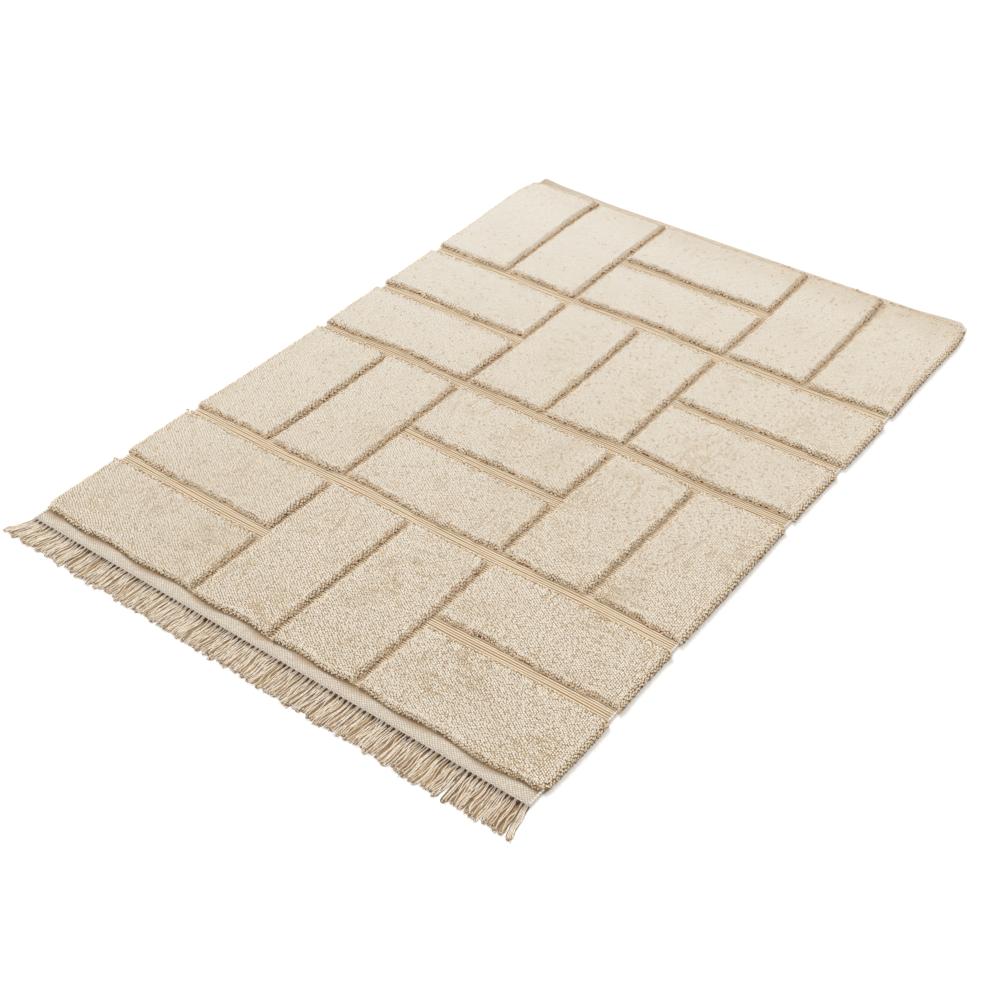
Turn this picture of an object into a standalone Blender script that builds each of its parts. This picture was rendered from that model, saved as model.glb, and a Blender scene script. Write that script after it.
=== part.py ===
"""Wool pile rug with carved channels, a flat-woven band at each end and a warp fringe at one end.

X runs across the loom, +Y along the warp and away from the fringe, +Z up. Units are metres.
The rug lies flat: its underside is the plane Z = 0.
"""
import math
import random

import bmesh
import bpy
import numpy as np

# Driving dimensions.
RUG_WIDTH = 1.600
PILE_LENGTH = 2.222
NEAR_BAND = 0.038
GROUND_THICK = 0.0045
PILE_HEIGHT = 0.0205

# The blocks: a square cell holds two blocks, side by side or one behind the other.
CELLS_ACROSS = 3
CELLS_ALONG = 4
CHANNEL_WIDTH = 0.042
CREVICE_WIDTH = 0.015

# How the pile rolls over at the foot of a block, and how far it leans out past the ground weave.
EDGE_ROLL = 0.016
BLOCK_CORNER = 0.014
RUG_CORNER = 0.028
SHOULDER = 0.004
SIDE_SPLAY = 0.005
SPLAY_REACH = 0.050
LUMP_HEIGHT = 0.0012
LUMP_WAVES = (
    # radians per metre across, radians per metre along, phase
    (31.0, 9.0, 0.0),
    (11.0, 23.0, 0.8),
    (17.0, 12.0, 2.6),
)
LONGEST_STEP = 0.090

# Unevenness of the outline, which is hand-woven.
END_SKEW = 0.052
SCALLOP_HEIGHT = 0.004
SCALLOP_LENGTH = 0.210
SCALLOP_DRIFT = 7.0
SIDE_WANDER = (0.0021, 5.0, 8.0)  # metres, radians per metre across, radians per metre along
AHEAD_WANDER = (0.0030, 9.0, 4.0)  # the same
WANDER_FADE = 0.100
FOOT_WANDER = (0.0050, 15.0, 9.0)  # the same
FOOT_REACH = 0.040
EDGE_DRIFT = (
    # share of the pile's length, left edge inwards, right edge outwards
    (0.00, -0.010, 0.011),
    (0.10, -0.011, 0.014),
    (0.22, -0.006, 0.009),
    (0.34, 0.002, 0.005),
    (0.50, 0.005, 0.004),
    (0.65, 0.009, 0.003),
    (0.82, 0.004, 0.001),
    (0.95, 0.002, 0.000),
    (1.00, 0.013, -0.011),
)
FAR_BAND = (
    # share of the width, length of the flat-woven band beyond the pile
    (0.00, 0.050),
    (0.07, 0.038),
    (0.20, 0.027),
    (0.55, 0.023),
    (0.88, 0.022),
    (0.98, 0.035),
    (1.00, 0.012),
)

# Fringe: bundles of warp ends that leave a narrow twined strip at the near end.
STRAND_COUNT = 110
STRIP_DEPTH = 0.005
STRIP_GAP = 0.0003
STRAND_SHARE = 0.66
STRAND_STEPS = 4
LENGTH_LEFT = 0.083
LENGTH_RIGHT = 0.101
LENGTH_SPREAD = 0.006
TIP_WIDTH_SHARE = 0.72
TIP_THICK = 0.0035
STRAND_LEAN = -0.004
CLUMP_SIZES = (3, 4, 2, 5, 3)
CLUMP_GATHER = 0.16
SPLAY_LEFT = 0.038
SPLAY_RIGHT = 0.030
SPLAY_FADE = 0.055
PARTING_AT = 1.420
PARTING_LEFT = 0.003
PARTING_RIGHT = 0.016
PARTING_FADE = 0.070
SWAY_HEIGHT = 0.002
SWAY_WAVE = 13.0
LENGTH_SEED = 7

WOOL_COLOUR = "E1D6C3"
WARP_COLOUR = "C9B597"
WOOL_ROUGHNESS = 0.95


# Materials and collections.

def linear(hex_colour):
    """Linear RGBA of an sRGB hex colour: c / 12.92 below 0.04045, else ((c + 0.055) / 1.055) ** 2.4."""
    shares = [int(hex_colour[i:i + 2], 16) / 255 for i in (0, 2, 4)]
    return [c / 12.92 if c <= 0.04045 else ((c + 0.055) / 1.055) ** 2.4 for c in shares] + [1.0]


def wool_material(name, hex_colour):
    material = bpy.data.materials.new(name)
    material.use_nodes = True
    shader = material.node_tree.nodes["Principled BSDF"]
    shader.inputs["Base Color"].default_value = linear(hex_colour)
    shader.inputs["Roughness"].default_value = WOOL_ROUGHNESS
    shader.inputs["Metallic"].default_value = 0.0
    material.diffuse_color = linear(hex_colour)
    return material


def add_object(name, bm, material, collection):
    """One named object from a bmesh, with its faces pointing out."""
    bmesh.ops.recalc_face_normals(bm, faces=bm.faces)
    mesh = bpy.data.meshes.new(name)
    bm.to_mesh(mesh)
    bm.free()
    mesh.materials.append(material)
    piece = bpy.data.objects.new(name, mesh)
    collection.objects.link(piece)
    return piece


# The layout of channels and crevices.

def crevice_lines():
    """The middles of the warp-wise crevices: every half cell across the rug."""
    half = RUG_WIDTH / CELLS_ACROSS / 2
    return [half * k for k in range(1, 2 * CELLS_ACROSS)]


def channel_lines():
    """The middles of the weft-wise channels: every half cell along the rug."""
    half = PILE_LENGTH / CELLS_ALONG / 2
    return [half * k for k in range(1, 2 * CELLS_ALONG)]


def split_across(column, row):
    """Whether a cell's two blocks lie one behind the other, with a weft-wise channel between."""
    return (column + row) % 2 == 0


def on_crevice(k, y):
    """Whether crevice k is open at y: those between cells run right through."""
    if k % 2 == 0:
        return True
    row = min(CELLS_ALONG - 1, max(0, int(y / (PILE_LENGTH / CELLS_ALONG))))
    return not split_across(k // 2, row)


def on_channel(k, x):
    """Whether channel k is open at x."""
    if k % 2 == 0:
        return True
    column = min(CELLS_ACROSS - 1, max(0, int(x / (RUG_WIDTH / CELLS_ACROSS))))
    return split_across(column, k // 2)


def clearance(x, y):
    """How far (x, y) lies from the nearest foot of the pile, inside a block; 0 on the ground weave."""
    across = min([abs(x - line) for k, line in enumerate(crevice_lines(), start=1) if on_crevice(k, y)])
    along = min([abs(y - line) for k, line in enumerate(channel_lines(), start=1) if on_channel(k, x)])
    in_block = rounded(across - CREVICE_WIDTH / 2, along - CHANNEL_WIDTH / 2, BLOCK_CORNER)
    in_rug = rounded(min(x, RUG_WIDTH - x), min(y, PILE_LENGTH - y), RUG_CORNER)
    return max(0.0, min(in_block, in_rug))


def rounded(across, along, radius):
    """Distance to the nearer of two edges, or to the arc that rounds the corner between them."""
    if max(across, along) < radius:
        return radius - math.hypot(radius - across, radius - along)
    return min(across, along)


def grid_lines(length, gaps, gap_width):
    """Grid lines along one side: the foot, shoulder and crown of each block, and lines between."""
    feet = [0.0]
    for middle in gaps:
        feet += [middle - gap_width / 2, middle + gap_width / 2]
    feet.append(length)
    lines = []
    for low, high in zip(feet[0::2], feet[1::2]):
        steps = max(1, math.ceil((high - low - 2 * EDGE_ROLL) / LONGEST_STEP))
        lines += [low, low + SHOULDER]
        lines += list(np.linspace(low + EDGE_ROLL, high - EDGE_ROLL, steps + 1))
        lines += [high - SHOULDER, high]
    return lines


# Heights and the uneven outline.

def lump(x, y):
    """Slow rise and fall of the pile's surface: the mean of crossing sines, from -1 to 1."""
    waves = [math.sin(across * x + along * y + phase) for across, along, phase in LUMP_WAVES]
    return sum(waves) / len(waves)


def surface_height(x, y):
    """Top of the rug: the ground weave, and on a block the pile, which rolls over in a quarter circle."""
    inside = min(1.0, clearance(x, y) / EDGE_ROLL)
    rise = math.sqrt(1.0 - (1.0 - inside) ** 2)
    return GROUND_THICK + rise * (PILE_HEIGHT + LUMP_HEIGHT * lump(x, y))


def eased(share):
    """Smooth step from 0 to 1: s * s * (3 - 2 s)."""
    s = min(1.0, max(0.0, share))
    return s * s * (3.0 - 2.0 * s)


def between_rows(rows, share):
    """A table's columns after the first at a share, eased from each row to the next."""
    for (low_share, *low), (high_share, *high) in zip(rows, rows[1:]):
        if share <= high_share:
            t = eased((share - low_share) / (high_share - low_share))
            return [a + t * (b - a) for a, b in zip(low, high)]
    return rows[-1][1:]


def edge_drift(y):
    """How far the left edge runs inwards and the right edge outwards at y."""
    return between_rows(EDGE_DRIFT, y / PILE_LENGTH)


def far_band(x):
    """The length of the far band at x."""
    return between_rows(FAR_BAND, x / RUG_WIDTH)[0]


def pile_at_side(y):
    """1 where a block reaches the side edge at y, 0 in a channel or on a band."""
    return min(1.0, clearance(EDGE_ROLL, y) / SHOULDER)


def wander(wave, x, y):
    """A slow sine over the rug, which fades to nothing at both ends of the pile."""
    height, across, along = wave
    fade = eased(y / WANDER_FADE) * eased((PILE_LENGTH - y) / WANDER_FADE)
    return fade * height * math.sin(across * x + along * y)


def foot_wander(x, y):
    """How far the near foot of a block strays from its even line, which fades to nothing over FOOT_REACH."""
    height, across, along = FOOT_WANDER
    stray = 0.0
    for k, line in enumerate(channel_lines(), start=1):
        if on_channel(k, x):
            near = eased(1.0 - abs(y - line - CHANNEL_WIDTH / 2) / FOOT_REACH)
            stray += near * height * math.sin(across * x + along * line)
    return stray


def near_scallop(x, y):
    """The waviness of the pile's near end, which fades to nothing over the width of the band."""
    turn = 2 * math.pi * x / SCALLOP_LENGTH + math.sin(SCALLOP_DRIFT * x)
    return SCALLOP_HEIGHT * eased(1.0 - abs(y) / NEAR_BAND) * math.sin(turn)


def uneven(x, y):
    """Moves a point of the even layout to its place in the hand-woven rug."""
    left, right = edge_drift(y)
    across = x / RUG_WIDTH
    shift = left * (1.0 - across) + right * across
    splay = SIDE_SPLAY * pile_at_side(y)
    shift -= splay * max(0.0, 1.0 - x / SPLAY_REACH)
    shift += splay * max(0.0, 1.0 - (RUG_WIDTH - x) / SPLAY_REACH)
    shift += wander(SIDE_WANDER, x, y)
    skew = END_SKEW * (across - 0.5) * max(0.0, y) / PILE_LENGTH
    ahead = wander(AHEAD_WANDER, x, y) + foot_wander(x, y) + near_scallop(x, y)
    return x + shift, y + skew + ahead


# The rug's body: pile, ground weave and end bands, woven in one piece.

def body_mesh():
    """A grid over the rug, raised to the pile's height, closed by its sides and a flat underside."""
    xs = grid_lines(RUG_WIDTH, crevice_lines(), CREVICE_WIDTH)
    ys = grid_lines(PILE_LENGTH, channel_lines(), CHANNEL_WIDTH)
    ys = [-NEAR_BAND, -NEAR_BAND / 2] + ys + [PILE_LENGTH]
    columns, rows = len(xs) - 1, len(ys) - 1
    bm = bmesh.new()
    bmesh.ops.create_grid(bm, x_segments=columns, y_segments=rows, size=0.5)
    for vert in bm.verts:
        x = xs[round((vert.co.x + 0.5) * columns)]
        row = round((vert.co.y + 0.5) * rows)
        y = ys[row] if row < rows else PILE_LENGTH + far_band(x)
        vert.co = (*uneven(x, y), surface_height(x, y))
    rim = [edge for edge in bm.edges if edge.is_boundary]
    skirt = bmesh.ops.extrude_edge_only(bm, edges=rim)["geom"]
    lower = [item for item in skirt if isinstance(item, bmesh.types.BMVert)]
    for vert in lower:
        vert.co.z = 0.0
    bmesh.ops.holes_fill(bm, edges=[edge for edge in bm.edges if edge.is_boundary])
    return bm


# The fringe: one strip and the strands that it holds.

def strand_centres():
    """The root of each strand along the strip, in the even layout."""
    pitch = RUG_WIDTH / STRAND_COUNT
    return [pitch * (k + 0.5) for k in range(STRAND_COUNT)]


def clump_middles(centres):
    """For each strand the middle of the clump that its tip lies in."""
    middles = []
    turn = 0
    while len(middles) < len(centres):
        size = min(CLUMP_SIZES[turn % len(CLUMP_SIZES)], len(centres) - len(middles))
        group = centres[len(middles):len(middles) + size]
        middles += [sum(group) / size] * size
        turn += 1
    return middles


def sideways(x, middle, share):
    """How far a strand has drifted to the side at a share of its length."""
    bend = share * share * (2.0 - share)
    drift = STRAND_LEAN + CLUMP_GATHER * (middle - x)
    drift -= SPLAY_LEFT * math.exp(-x / SPLAY_FADE)
    drift += SPLAY_RIGHT * math.exp(-(RUG_WIDTH - x) / SPLAY_FADE)
    parting = PARTING_RIGHT if x > PARTING_AT else -PARTING_LEFT
    drift += parting * math.exp(-abs(x - PARTING_AT) / PARTING_FADE)
    sway = SWAY_HEIGHT * math.sin(2 * math.pi * share) * math.sin(SWAY_WAVE * x)
    return bend * drift + sway


def fringe_mesh():
    """A bar with a strand extruded from every second face of its front, resting on the floor."""
    rng = random.Random(LENGTH_SEED)
    pitch = RUG_WIDTH / STRAND_COUNT
    half = pitch * STRAND_SHARE / 2
    centres = strand_centres()
    edges = [0.0] + [c + side * half for c in centres for side in (-1, 1)] + [RUG_WIDTH]
    back = -NEAR_BAND - STRIP_GAP
    columns = len(edges) - 1
    left, right = edge_drift(0.0)
    bm = bmesh.new()
    bmesh.ops.create_grid(bm, x_segments=columns, y_segments=1, size=0.5)
    for vert in bm.verts:
        x = edges[round((vert.co.x + 0.5) * columns)]
        shift = left + (right - left) * x / RUG_WIDTH
        vert.co = (x + shift, back if vert.co.y > 0 else back - STRIP_DEPTH, GROUND_THICK)
    skirt = bmesh.ops.extrude_face_region(bm, geom=bm.faces[:])["geom"]
    for item in skirt:
        if isinstance(item, bmesh.types.BMVert):
            item.co.z = 0.0
    bmesh.ops.recalc_face_normals(bm, faces=bm.faces)
    front = [f for f in bm.faces if f.normal.y < -0.9]
    front.sort(key=lambda f: f.calc_center_median().x)
    roots = front[1::2]
    for face, x, middle in zip(roots, centres, clump_middles(centres)):
        length = LENGTH_LEFT + (LENGTH_RIGHT - LENGTH_LEFT) * x / RUG_WIDTH
        length += rng.uniform(-LENGTH_SPREAD, LENGTH_SPREAD)
        root_x = face.calc_center_median().x
        for step in range(1, STRAND_STEPS + 1):
            share = step / STRAND_STEPS
            place = root_x + sideways(x, middle, share)
            width = half * (1.0 + (TIP_WIDTH_SHARE - 1.0) * share)
            thick = GROUND_THICK + (TIP_THICK - GROUND_THICK) * share
            old_middle = face.calc_center_median()
            face = bmesh.ops.extrude_discrete_faces(bm, faces=[face])["faces"][0]
            for vert in face.verts:
                side = 1 if vert.co.x > old_middle.x else -1
                top = vert.co.z > old_middle.z
                vert.co = (place + side * width, back - STRIP_DEPTH - length * share, thick if top else 0.0)
    return bm


def centre_on_origin(pieces):
    """Moves the meshes so that the rug's box is centred on the origin in plan."""
    points = [v.co for piece in pieces for v in piece.data.vertices]
    middle = [(min(p[i] for p in points) + max(p[i] for p in points)) / 2 for i in (0, 1)]
    for piece in pieces:
        for vert in piece.data.vertices:
            vert.co.x -= middle[0]
            vert.co.y -= middle[1]


def main():
    for old in list(bpy.data.objects):
        bpy.data.objects.remove(old)
    parts = bpy.data.collections.new("carved_pile_rug")
    bpy.context.scene.collection.children.link(parts)
    body = add_object("pile_rug", body_mesh(), wool_material("cream_wool_pile", WOOL_COLOUR), parts)
    fringe = add_object("warp_fringe", fringe_mesh(), wool_material("tan_warp_yarn", WARP_COLOUR), parts)
    centre_on_origin([body, fringe])


main()
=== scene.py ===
# %% [markdown]
# # A carved wool pile rug, made thread by thread
# The rug is one cloth from the loom: a flat ground weave with ribs, rows of wool tufts knotted into it,
# and the ends of its warp left as a fringe. The tufts stand in blocks. Between the blocks the ground
# shows, in wide channels along the weft and in narrow crevices along the warp.
# The solids from the construction step are loaded first. They are the frame that every piece fits.

# %% Load the frame
import math
import random

import bpy
import numpy as np
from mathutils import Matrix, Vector


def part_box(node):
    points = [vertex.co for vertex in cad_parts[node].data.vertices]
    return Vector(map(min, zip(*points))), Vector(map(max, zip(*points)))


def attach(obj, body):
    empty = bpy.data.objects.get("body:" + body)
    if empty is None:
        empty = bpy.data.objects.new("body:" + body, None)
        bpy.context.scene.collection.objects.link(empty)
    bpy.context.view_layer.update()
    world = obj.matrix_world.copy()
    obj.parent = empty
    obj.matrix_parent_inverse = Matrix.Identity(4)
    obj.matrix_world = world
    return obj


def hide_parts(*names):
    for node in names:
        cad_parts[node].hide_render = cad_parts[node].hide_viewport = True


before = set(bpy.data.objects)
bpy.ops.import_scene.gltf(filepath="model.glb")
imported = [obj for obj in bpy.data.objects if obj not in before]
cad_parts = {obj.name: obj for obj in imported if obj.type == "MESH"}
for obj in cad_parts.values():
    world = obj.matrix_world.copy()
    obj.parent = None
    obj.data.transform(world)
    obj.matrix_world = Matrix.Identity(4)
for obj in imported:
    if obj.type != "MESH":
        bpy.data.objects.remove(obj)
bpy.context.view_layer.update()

RUG_LOW, RUG_HIGH = [np.array(corner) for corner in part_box("pile_rug")]
print("rug solid, mm:", np.round((RUG_HIGH - RUG_LOW) * 1000, 1))

# %% [markdown]
# ## The even layout
# A weaver plans the rug as an even grid: three cells across and four along, each split into two blocks,
# crosswise or lengthwise by turns, as in a basket weave. Everything is placed on this even plan first,
# and one function then moves it to where a hand loom really puts it.

# %% Driving sizes, in metres, as in the construction
RUG_WIDTH = 1.600
PILE_LENGTH = 2.222
NEAR_BAND = 0.038
GROUND_THICK = 0.0045
PILE_HEIGHT = 0.0205
CELLS_ACROSS, CELLS_ALONG = 3, 4
CELL_WIDTH = RUG_WIDTH / CELLS_ACROSS
CELL_LENGTH = PILE_LENGTH / CELLS_ALONG
CHANNEL_WIDTH = 0.042
CREVICE_WIDTH = 0.015
EDGE_ROLL = 0.016
BLOCK_CORNER = 0.014
RUG_CORNER = 0.028
SHOULDER = 0.004
SIDE_SPLAY = 0.005
SPLAY_REACH = 0.050
LUMP_HEIGHT = 0.0012
LUMP_WAVES = ((31.0, 9.0, 0.0), (11.0, 23.0, 0.8), (17.0, 12.0, 2.6))  # across, along, phase

# Unevenness of the outline: (height, radians per metre across, radians per metre along).
END_SKEW = 0.052
SCALLOP_HEIGHT, SCALLOP_LENGTH, SCALLOP_DRIFT = 0.004, 0.210, 7.0
SIDE_WANDER = (0.0021, 5.0, 8.0)
AHEAD_WANDER = (0.0030, 9.0, 4.0)
WANDER_FADE = 0.100
FOOT_WANDER = (0.0050, 15.0, 9.0)
FOOT_REACH = 0.040
EDGE_DRIFT = (  # share of the pile's length, left edge inwards, right edge outwards
    (0.00, -0.010, 0.011), (0.10, -0.011, 0.014), (0.22, -0.006, 0.009), (0.34, 0.002, 0.005),
    (0.50, 0.005, 0.004), (0.65, 0.009, 0.003), (0.82, 0.004, 0.001), (0.95, 0.002, 0.000),
    (1.00, 0.013, -0.011),
)
FAR_BAND = (  # share of the width, length of the band beyond the pile
    (0.00, 0.050), (0.07, 0.038), (0.20, 0.027), (0.55, 0.023), (0.88, 0.022), (0.98, 0.035),
    (1.00, 0.012),
)


# %% [markdown]
# ## From the even layout to the real rug
# Each function below takes whole arrays of x and y. `clearance` says how deep a point lies inside a
# block, `surface_height` turns that into the pile's height with a quarter-circle roll at each foot, and
# `uneven` moves a point to its hand-woven place.

# %% Heights on the even layout
def eased(share):
    """Smooth step from 0 to 1: s * s * (3 - 2 s)."""
    s = np.clip(share, 0.0, 1.0)
    return s * s * (3.0 - 2.0 * s)


def between_rows(rows, share):
    """A table's columns after the first at an array of shares, eased from each row to the next."""
    table = np.array(rows)
    k = np.clip(np.searchsorted(table[:, 0], share) - 1, 0, len(table) - 2)
    low, high = table[k], table[k + 1]
    t = eased((share - low[..., 0]) / (high[..., 0] - low[..., 0]))
    return low[..., 1:] + t[..., None] * (high[..., 1:] - low[..., 1:])


def cell_of(x, y):
    """The column and row of the cell that holds a point."""
    column = np.clip(np.floor(x / CELL_WIDTH), 0, CELLS_ACROSS - 1)
    row = np.clip(np.floor(y / CELL_LENGTH), 0, CELLS_ALONG - 1)
    return column, row


def to_gap(place, cell, cell_size, cells, halved):
    """Distance to the nearest gap's middle: a line between two cells, or a halved cell's own middle."""
    low = np.where(cell > 0, place - cell * cell_size, np.inf)
    high = np.where(cell < cells - 1, (cell + 1) * cell_size - place, np.inf)
    middle = np.where(halved, np.abs(place - (cell + 0.5) * cell_size), np.inf)
    return np.minimum(np.minimum(np.abs(low), np.abs(high)), middle)


def rounded(across, along, radius):
    """Distance to the nearer of two edges, or to the arc that rounds the corner between them."""
    arc = radius - np.hypot(np.minimum(across, radius) - radius, np.minimum(along, radius) - radius)
    return np.where(np.maximum(across, along) < radius, arc, np.minimum(across, along))


def clearance(x, y):
    """How far a point lies inside its block, from the nearest foot of the pile; 0 on the ground weave."""
    column, row = cell_of(x, y)
    crosswise = (column + row) % 2 == 0
    across = to_gap(x, column, CELL_WIDTH, CELLS_ACROSS, ~crosswise) - CREVICE_WIDTH / 2
    along = to_gap(y, row, CELL_LENGTH, CELLS_ALONG, crosswise) - CHANNEL_WIDTH / 2
    in_block = rounded(across, along, BLOCK_CORNER)
    in_rug = rounded(np.minimum(x, RUG_WIDTH - x), np.minimum(y, PILE_LENGTH - y), RUG_CORNER)
    return np.maximum(0.0, np.minimum(in_block, in_rug))


def surface_height(x, y):
    """Top of the rug: the ground, and on a block the pile, which rolls over in a quarter circle."""
    inside = np.minimum(1.0, clearance(x, y) / EDGE_ROLL)
    rise = np.sqrt(1.0 - (1.0 - inside) ** 2)
    lump = sum(np.sin(a * x + b * y + phase) for a, b, phase in LUMP_WAVES) / len(LUMP_WAVES)
    return GROUND_THICK + rise * (PILE_HEIGHT + LUMP_HEIGHT * lump)


# %% Places in the hand-woven rug
def wander(wave, x, y):
    """A slow sine over the rug, which fades to nothing at both ends of the pile."""
    fade = eased(y / WANDER_FADE) * eased((PILE_LENGTH - y) / WANDER_FADE)
    return fade * wave[0] * np.sin(wave[1] * x + wave[2] * y)


def foot_wander(x, y):
    """How far the near foot of a block strays from its even line: a sine that fades over FOOT_REACH."""
    height, across, along = FOOT_WANDER
    column, _ = cell_of(x, y)
    stray = np.zeros_like(x)
    for k in range(1, 2 * CELLS_ALONG):
        line = k * CELL_LENGTH / 2
        open_here = (k % 2 == 0) | ((column + k // 2) % 2 == 0)
        near = eased(1.0 - np.abs(y - line - CHANNEL_WIDTH / 2) / FOOT_REACH)
        stray = stray + open_here * near * height * np.sin(across * x + along * line)
    return stray


def near_scallop(x, y):
    """The waviness of the pile's near end, which fades to nothing over the band."""
    turn = 2 * math.pi * x / SCALLOP_LENGTH + np.sin(SCALLOP_DRIFT * x)
    return SCALLOP_HEIGHT * eased(1.0 - np.abs(y) / NEAR_BAND) * np.sin(turn)


def in_plan(x, y, feet=1.0):
    """Moves even places to the hand-woven ones, before the shift to the frame's origin."""
    drift = between_rows(EDGE_DRIFT, y / PILE_LENGTH)
    across = x / RUG_WIDTH
    splay = SIDE_SPLAY * np.minimum(1.0, clearance(np.full_like(y, EDGE_ROLL), y) / SHOULDER)
    shift = drift[..., 0] * (1.0 - across) + drift[..., 1] * across + wander(SIDE_WANDER, x, y)
    shift = shift - splay * np.maximum(0.0, 1.0 - x / SPLAY_REACH)
    shift = shift + splay * np.maximum(0.0, 1.0 - (RUG_WIDTH - x) / SPLAY_REACH)
    skew = END_SKEW * (across - 0.5) * np.maximum(0.0, y) / PILE_LENGTH
    ahead = wander(AHEAD_WANDER, x, y) + feet * foot_wander(x, y) + near_scallop(x, y)
    return x + shift, y + skew + ahead


EDGE_SAMPLES = np.linspace(-NEAR_BAND, PILE_LENGTH, 4000)
LEFTMOST = in_plan(np.zeros_like(EDGE_SAMPLES), EDGE_SAMPLES)[0].min()
SHIFT_X = RUG_LOW[0] - LEFTMOST
SHIFT_Y = RUG_LOW[1] + NEAR_BAND


def uneven(x, y, feet=1.0):
    """Even places to places in the frame."""
    across, along = in_plan(x, y, feet)
    return across + SHIFT_X, along + SHIFT_Y


print("layout's origin in the frame, mm:", round(SHIFT_X * 1000, 1), round(SHIFT_Y * 1000, 1))


# %% [markdown]
# A tuft has to know which way is out of the pile. The outward direction comes from two small steps on
# the surface: the cross product of the step across and the step along.

# %% Points above and below the pile's surface
STEP = 0.0005
RAGGED_HEIGHT = 0.0035                 # metres that a hand-cut edge strays from its even line, at most
RAGGED_WAVES = ((130.0, 47.0, 0.3), (59.0, 151.0, 1.9), (97.0, -113.0, 4.2))  # across, along, phase
RAGGED_FADE, RAGGED_REACH = 0.030, 0.040   # they fade at the rug's own sides, and inside a block


def to_rug_side(x, y):
    """Distance to the nearest of the pile's own sides and ends, on the even layout."""
    return np.minimum(np.minimum(x, RUG_WIDTH - x), np.minimum(y, PILE_LENGTH - y))


def ragged(x, y):
    """A hand-cut edge's small waves, as steps across and along: means of three crossing sines."""
    turns = [a * x + b * y + phase for a, b, phase in RAGGED_WAVES]
    in_rug = eased(to_rug_side(x, y) / RAGGED_FADE)
    near_foot = eased(1.0 - clearance(x, y) / RAGGED_REACH)
    size = RAGGED_HEIGHT / len(turns) * in_rug * near_foot
    return size * sum(np.sin(turn) for turn in turns), size * sum(np.cos(turn) for turn in turns)


def on_surface(x, y):
    """Points of the rug's upper surface, as an array that ends in x, y, z."""
    across, along = uneven(x, y)
    step_across, step_along = ragged(x, y)
    return np.stack([across + step_across, along + step_along, surface_height(x, y)], axis=-1)


def unit(vectors):
    """Vectors scaled to length one."""
    return vectors / np.maximum(np.linalg.norm(vectors, axis=-1, keepdims=True), 1e-12)


def square_to(axes, leans):
    """The leans' unit directions at right angles to the axes."""
    return unit(leans - np.sum(leans * axes, axis=-1, keepdims=True) * axes)


def outward(x, y):
    """The surface's outward direction, from the cross product of two small central steps."""
    across = on_surface(x + STEP, y) - on_surface(x - STEP, y)
    along = on_surface(x, y + STEP) - on_surface(x, y - STEP)
    return unit(np.cross(across, along))


def under_surface(x, y, depth):
    """Points that lie a depth under the surface, measured straight in."""
    return on_surface(x, y) - depth * outward(x, y)


# %% [markdown]
# ## Putting arrays into meshes
# Four small helpers serve the pieces: one makes an object from arrays of points and faces, one gives
# the faces of a grid, one closes a grid of points into a solid sheet with a flat underside, and one puts
# several shapes together.

# %% Meshes from arrays
PIECES = []


def make_piece(name, points, faces, material, values=None):
    """An object from points (n, 3) and faces (m, corners), with its material and body, added to the list of
    pieces.
    """
    mesh = bpy.data.meshes.new(name)
    points = np.asarray(points, dtype=np.float32).reshape(-1, 3)
    faces = np.asarray(faces, dtype=np.int32)
    mesh.vertices.add(len(points))
    mesh.vertices.foreach_set("co", points.ravel())
    mesh.loops.add(faces.size)
    mesh.loops.foreach_set("vertex_index", faces.ravel())
    mesh.polygons.add(len(faces))
    mesh.polygons.foreach_set("loop_start", np.arange(len(faces), dtype=np.int32) * faces.shape[1])
    mesh.update(calc_edges=True)
    mesh.shade_smooth()
    for key, numbers in (values or {}).items():
        layer = mesh.attributes.new(key, "FLOAT", "POINT")
        layer.data.foreach_set("value", np.asarray(numbers, dtype=np.float32).ravel())
    mesh.materials.append(material)
    piece = bpy.data.objects.new(name, mesh)
    bpy.context.scene.collection.objects.link(piece)
    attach(piece, "root")
    PIECES.append(piece)
    print(name, "triangles:", len(faces) * (faces.shape[1] - 2))
    return piece


def grid_faces(rows, columns, wrap=False):
    """Quads of a grid of points, counted row by row; a wrapped grid is closed along its columns."""
    r, c = np.meshgrid(np.arange(rows - 1), np.arange(columns if wrap else columns - 1), indexing="ij")
    ahead = (c + 1) % columns
    corners = [r * columns + c, r * columns + ahead, (r + 1) * columns + ahead, (r + 1) * columns + c]
    return np.stack(corners, axis=-1).reshape(-1, 4)


def closed_sheet(top, floor):
    """A grid of points (rows, columns, 3), its rim dropped to the floor height, and a grid under it."""
    rows, columns, _ = top.shape
    under = top.copy()
    under[..., 2] = floor
    upper = grid_faces(rows, columns)
    lower = upper[:, ::-1] + rows * columns
    ring = np.concatenate([
        np.arange(columns - 1),
        np.arange(columns - 1, (rows - 1) * columns, columns),
        np.arange(rows * columns - 1, (rows - 1) * columns, -1),
        np.arange((rows - 1) * columns, 0, -columns),
    ])
    after = np.roll(ring, -1)
    rim = np.stack([ring, ring + rows * columns, after + rows * columns, after], axis=-1)
    points = np.concatenate([top.reshape(-1, 3), under.reshape(-1, 3)])
    return points, np.concatenate([upper, lower, rim])


def joined(shapes):
    """Several (points, faces) pairs as one pair, with the faces' numbers moved along."""
    starts = np.cumsum([0] + [len(points) for points, _ in shapes[:-1]])
    faces = np.concatenate([f + start for (_, f), start in zip(shapes, starts)])
    return np.concatenate([points for points, _ in shapes]), faces
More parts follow.
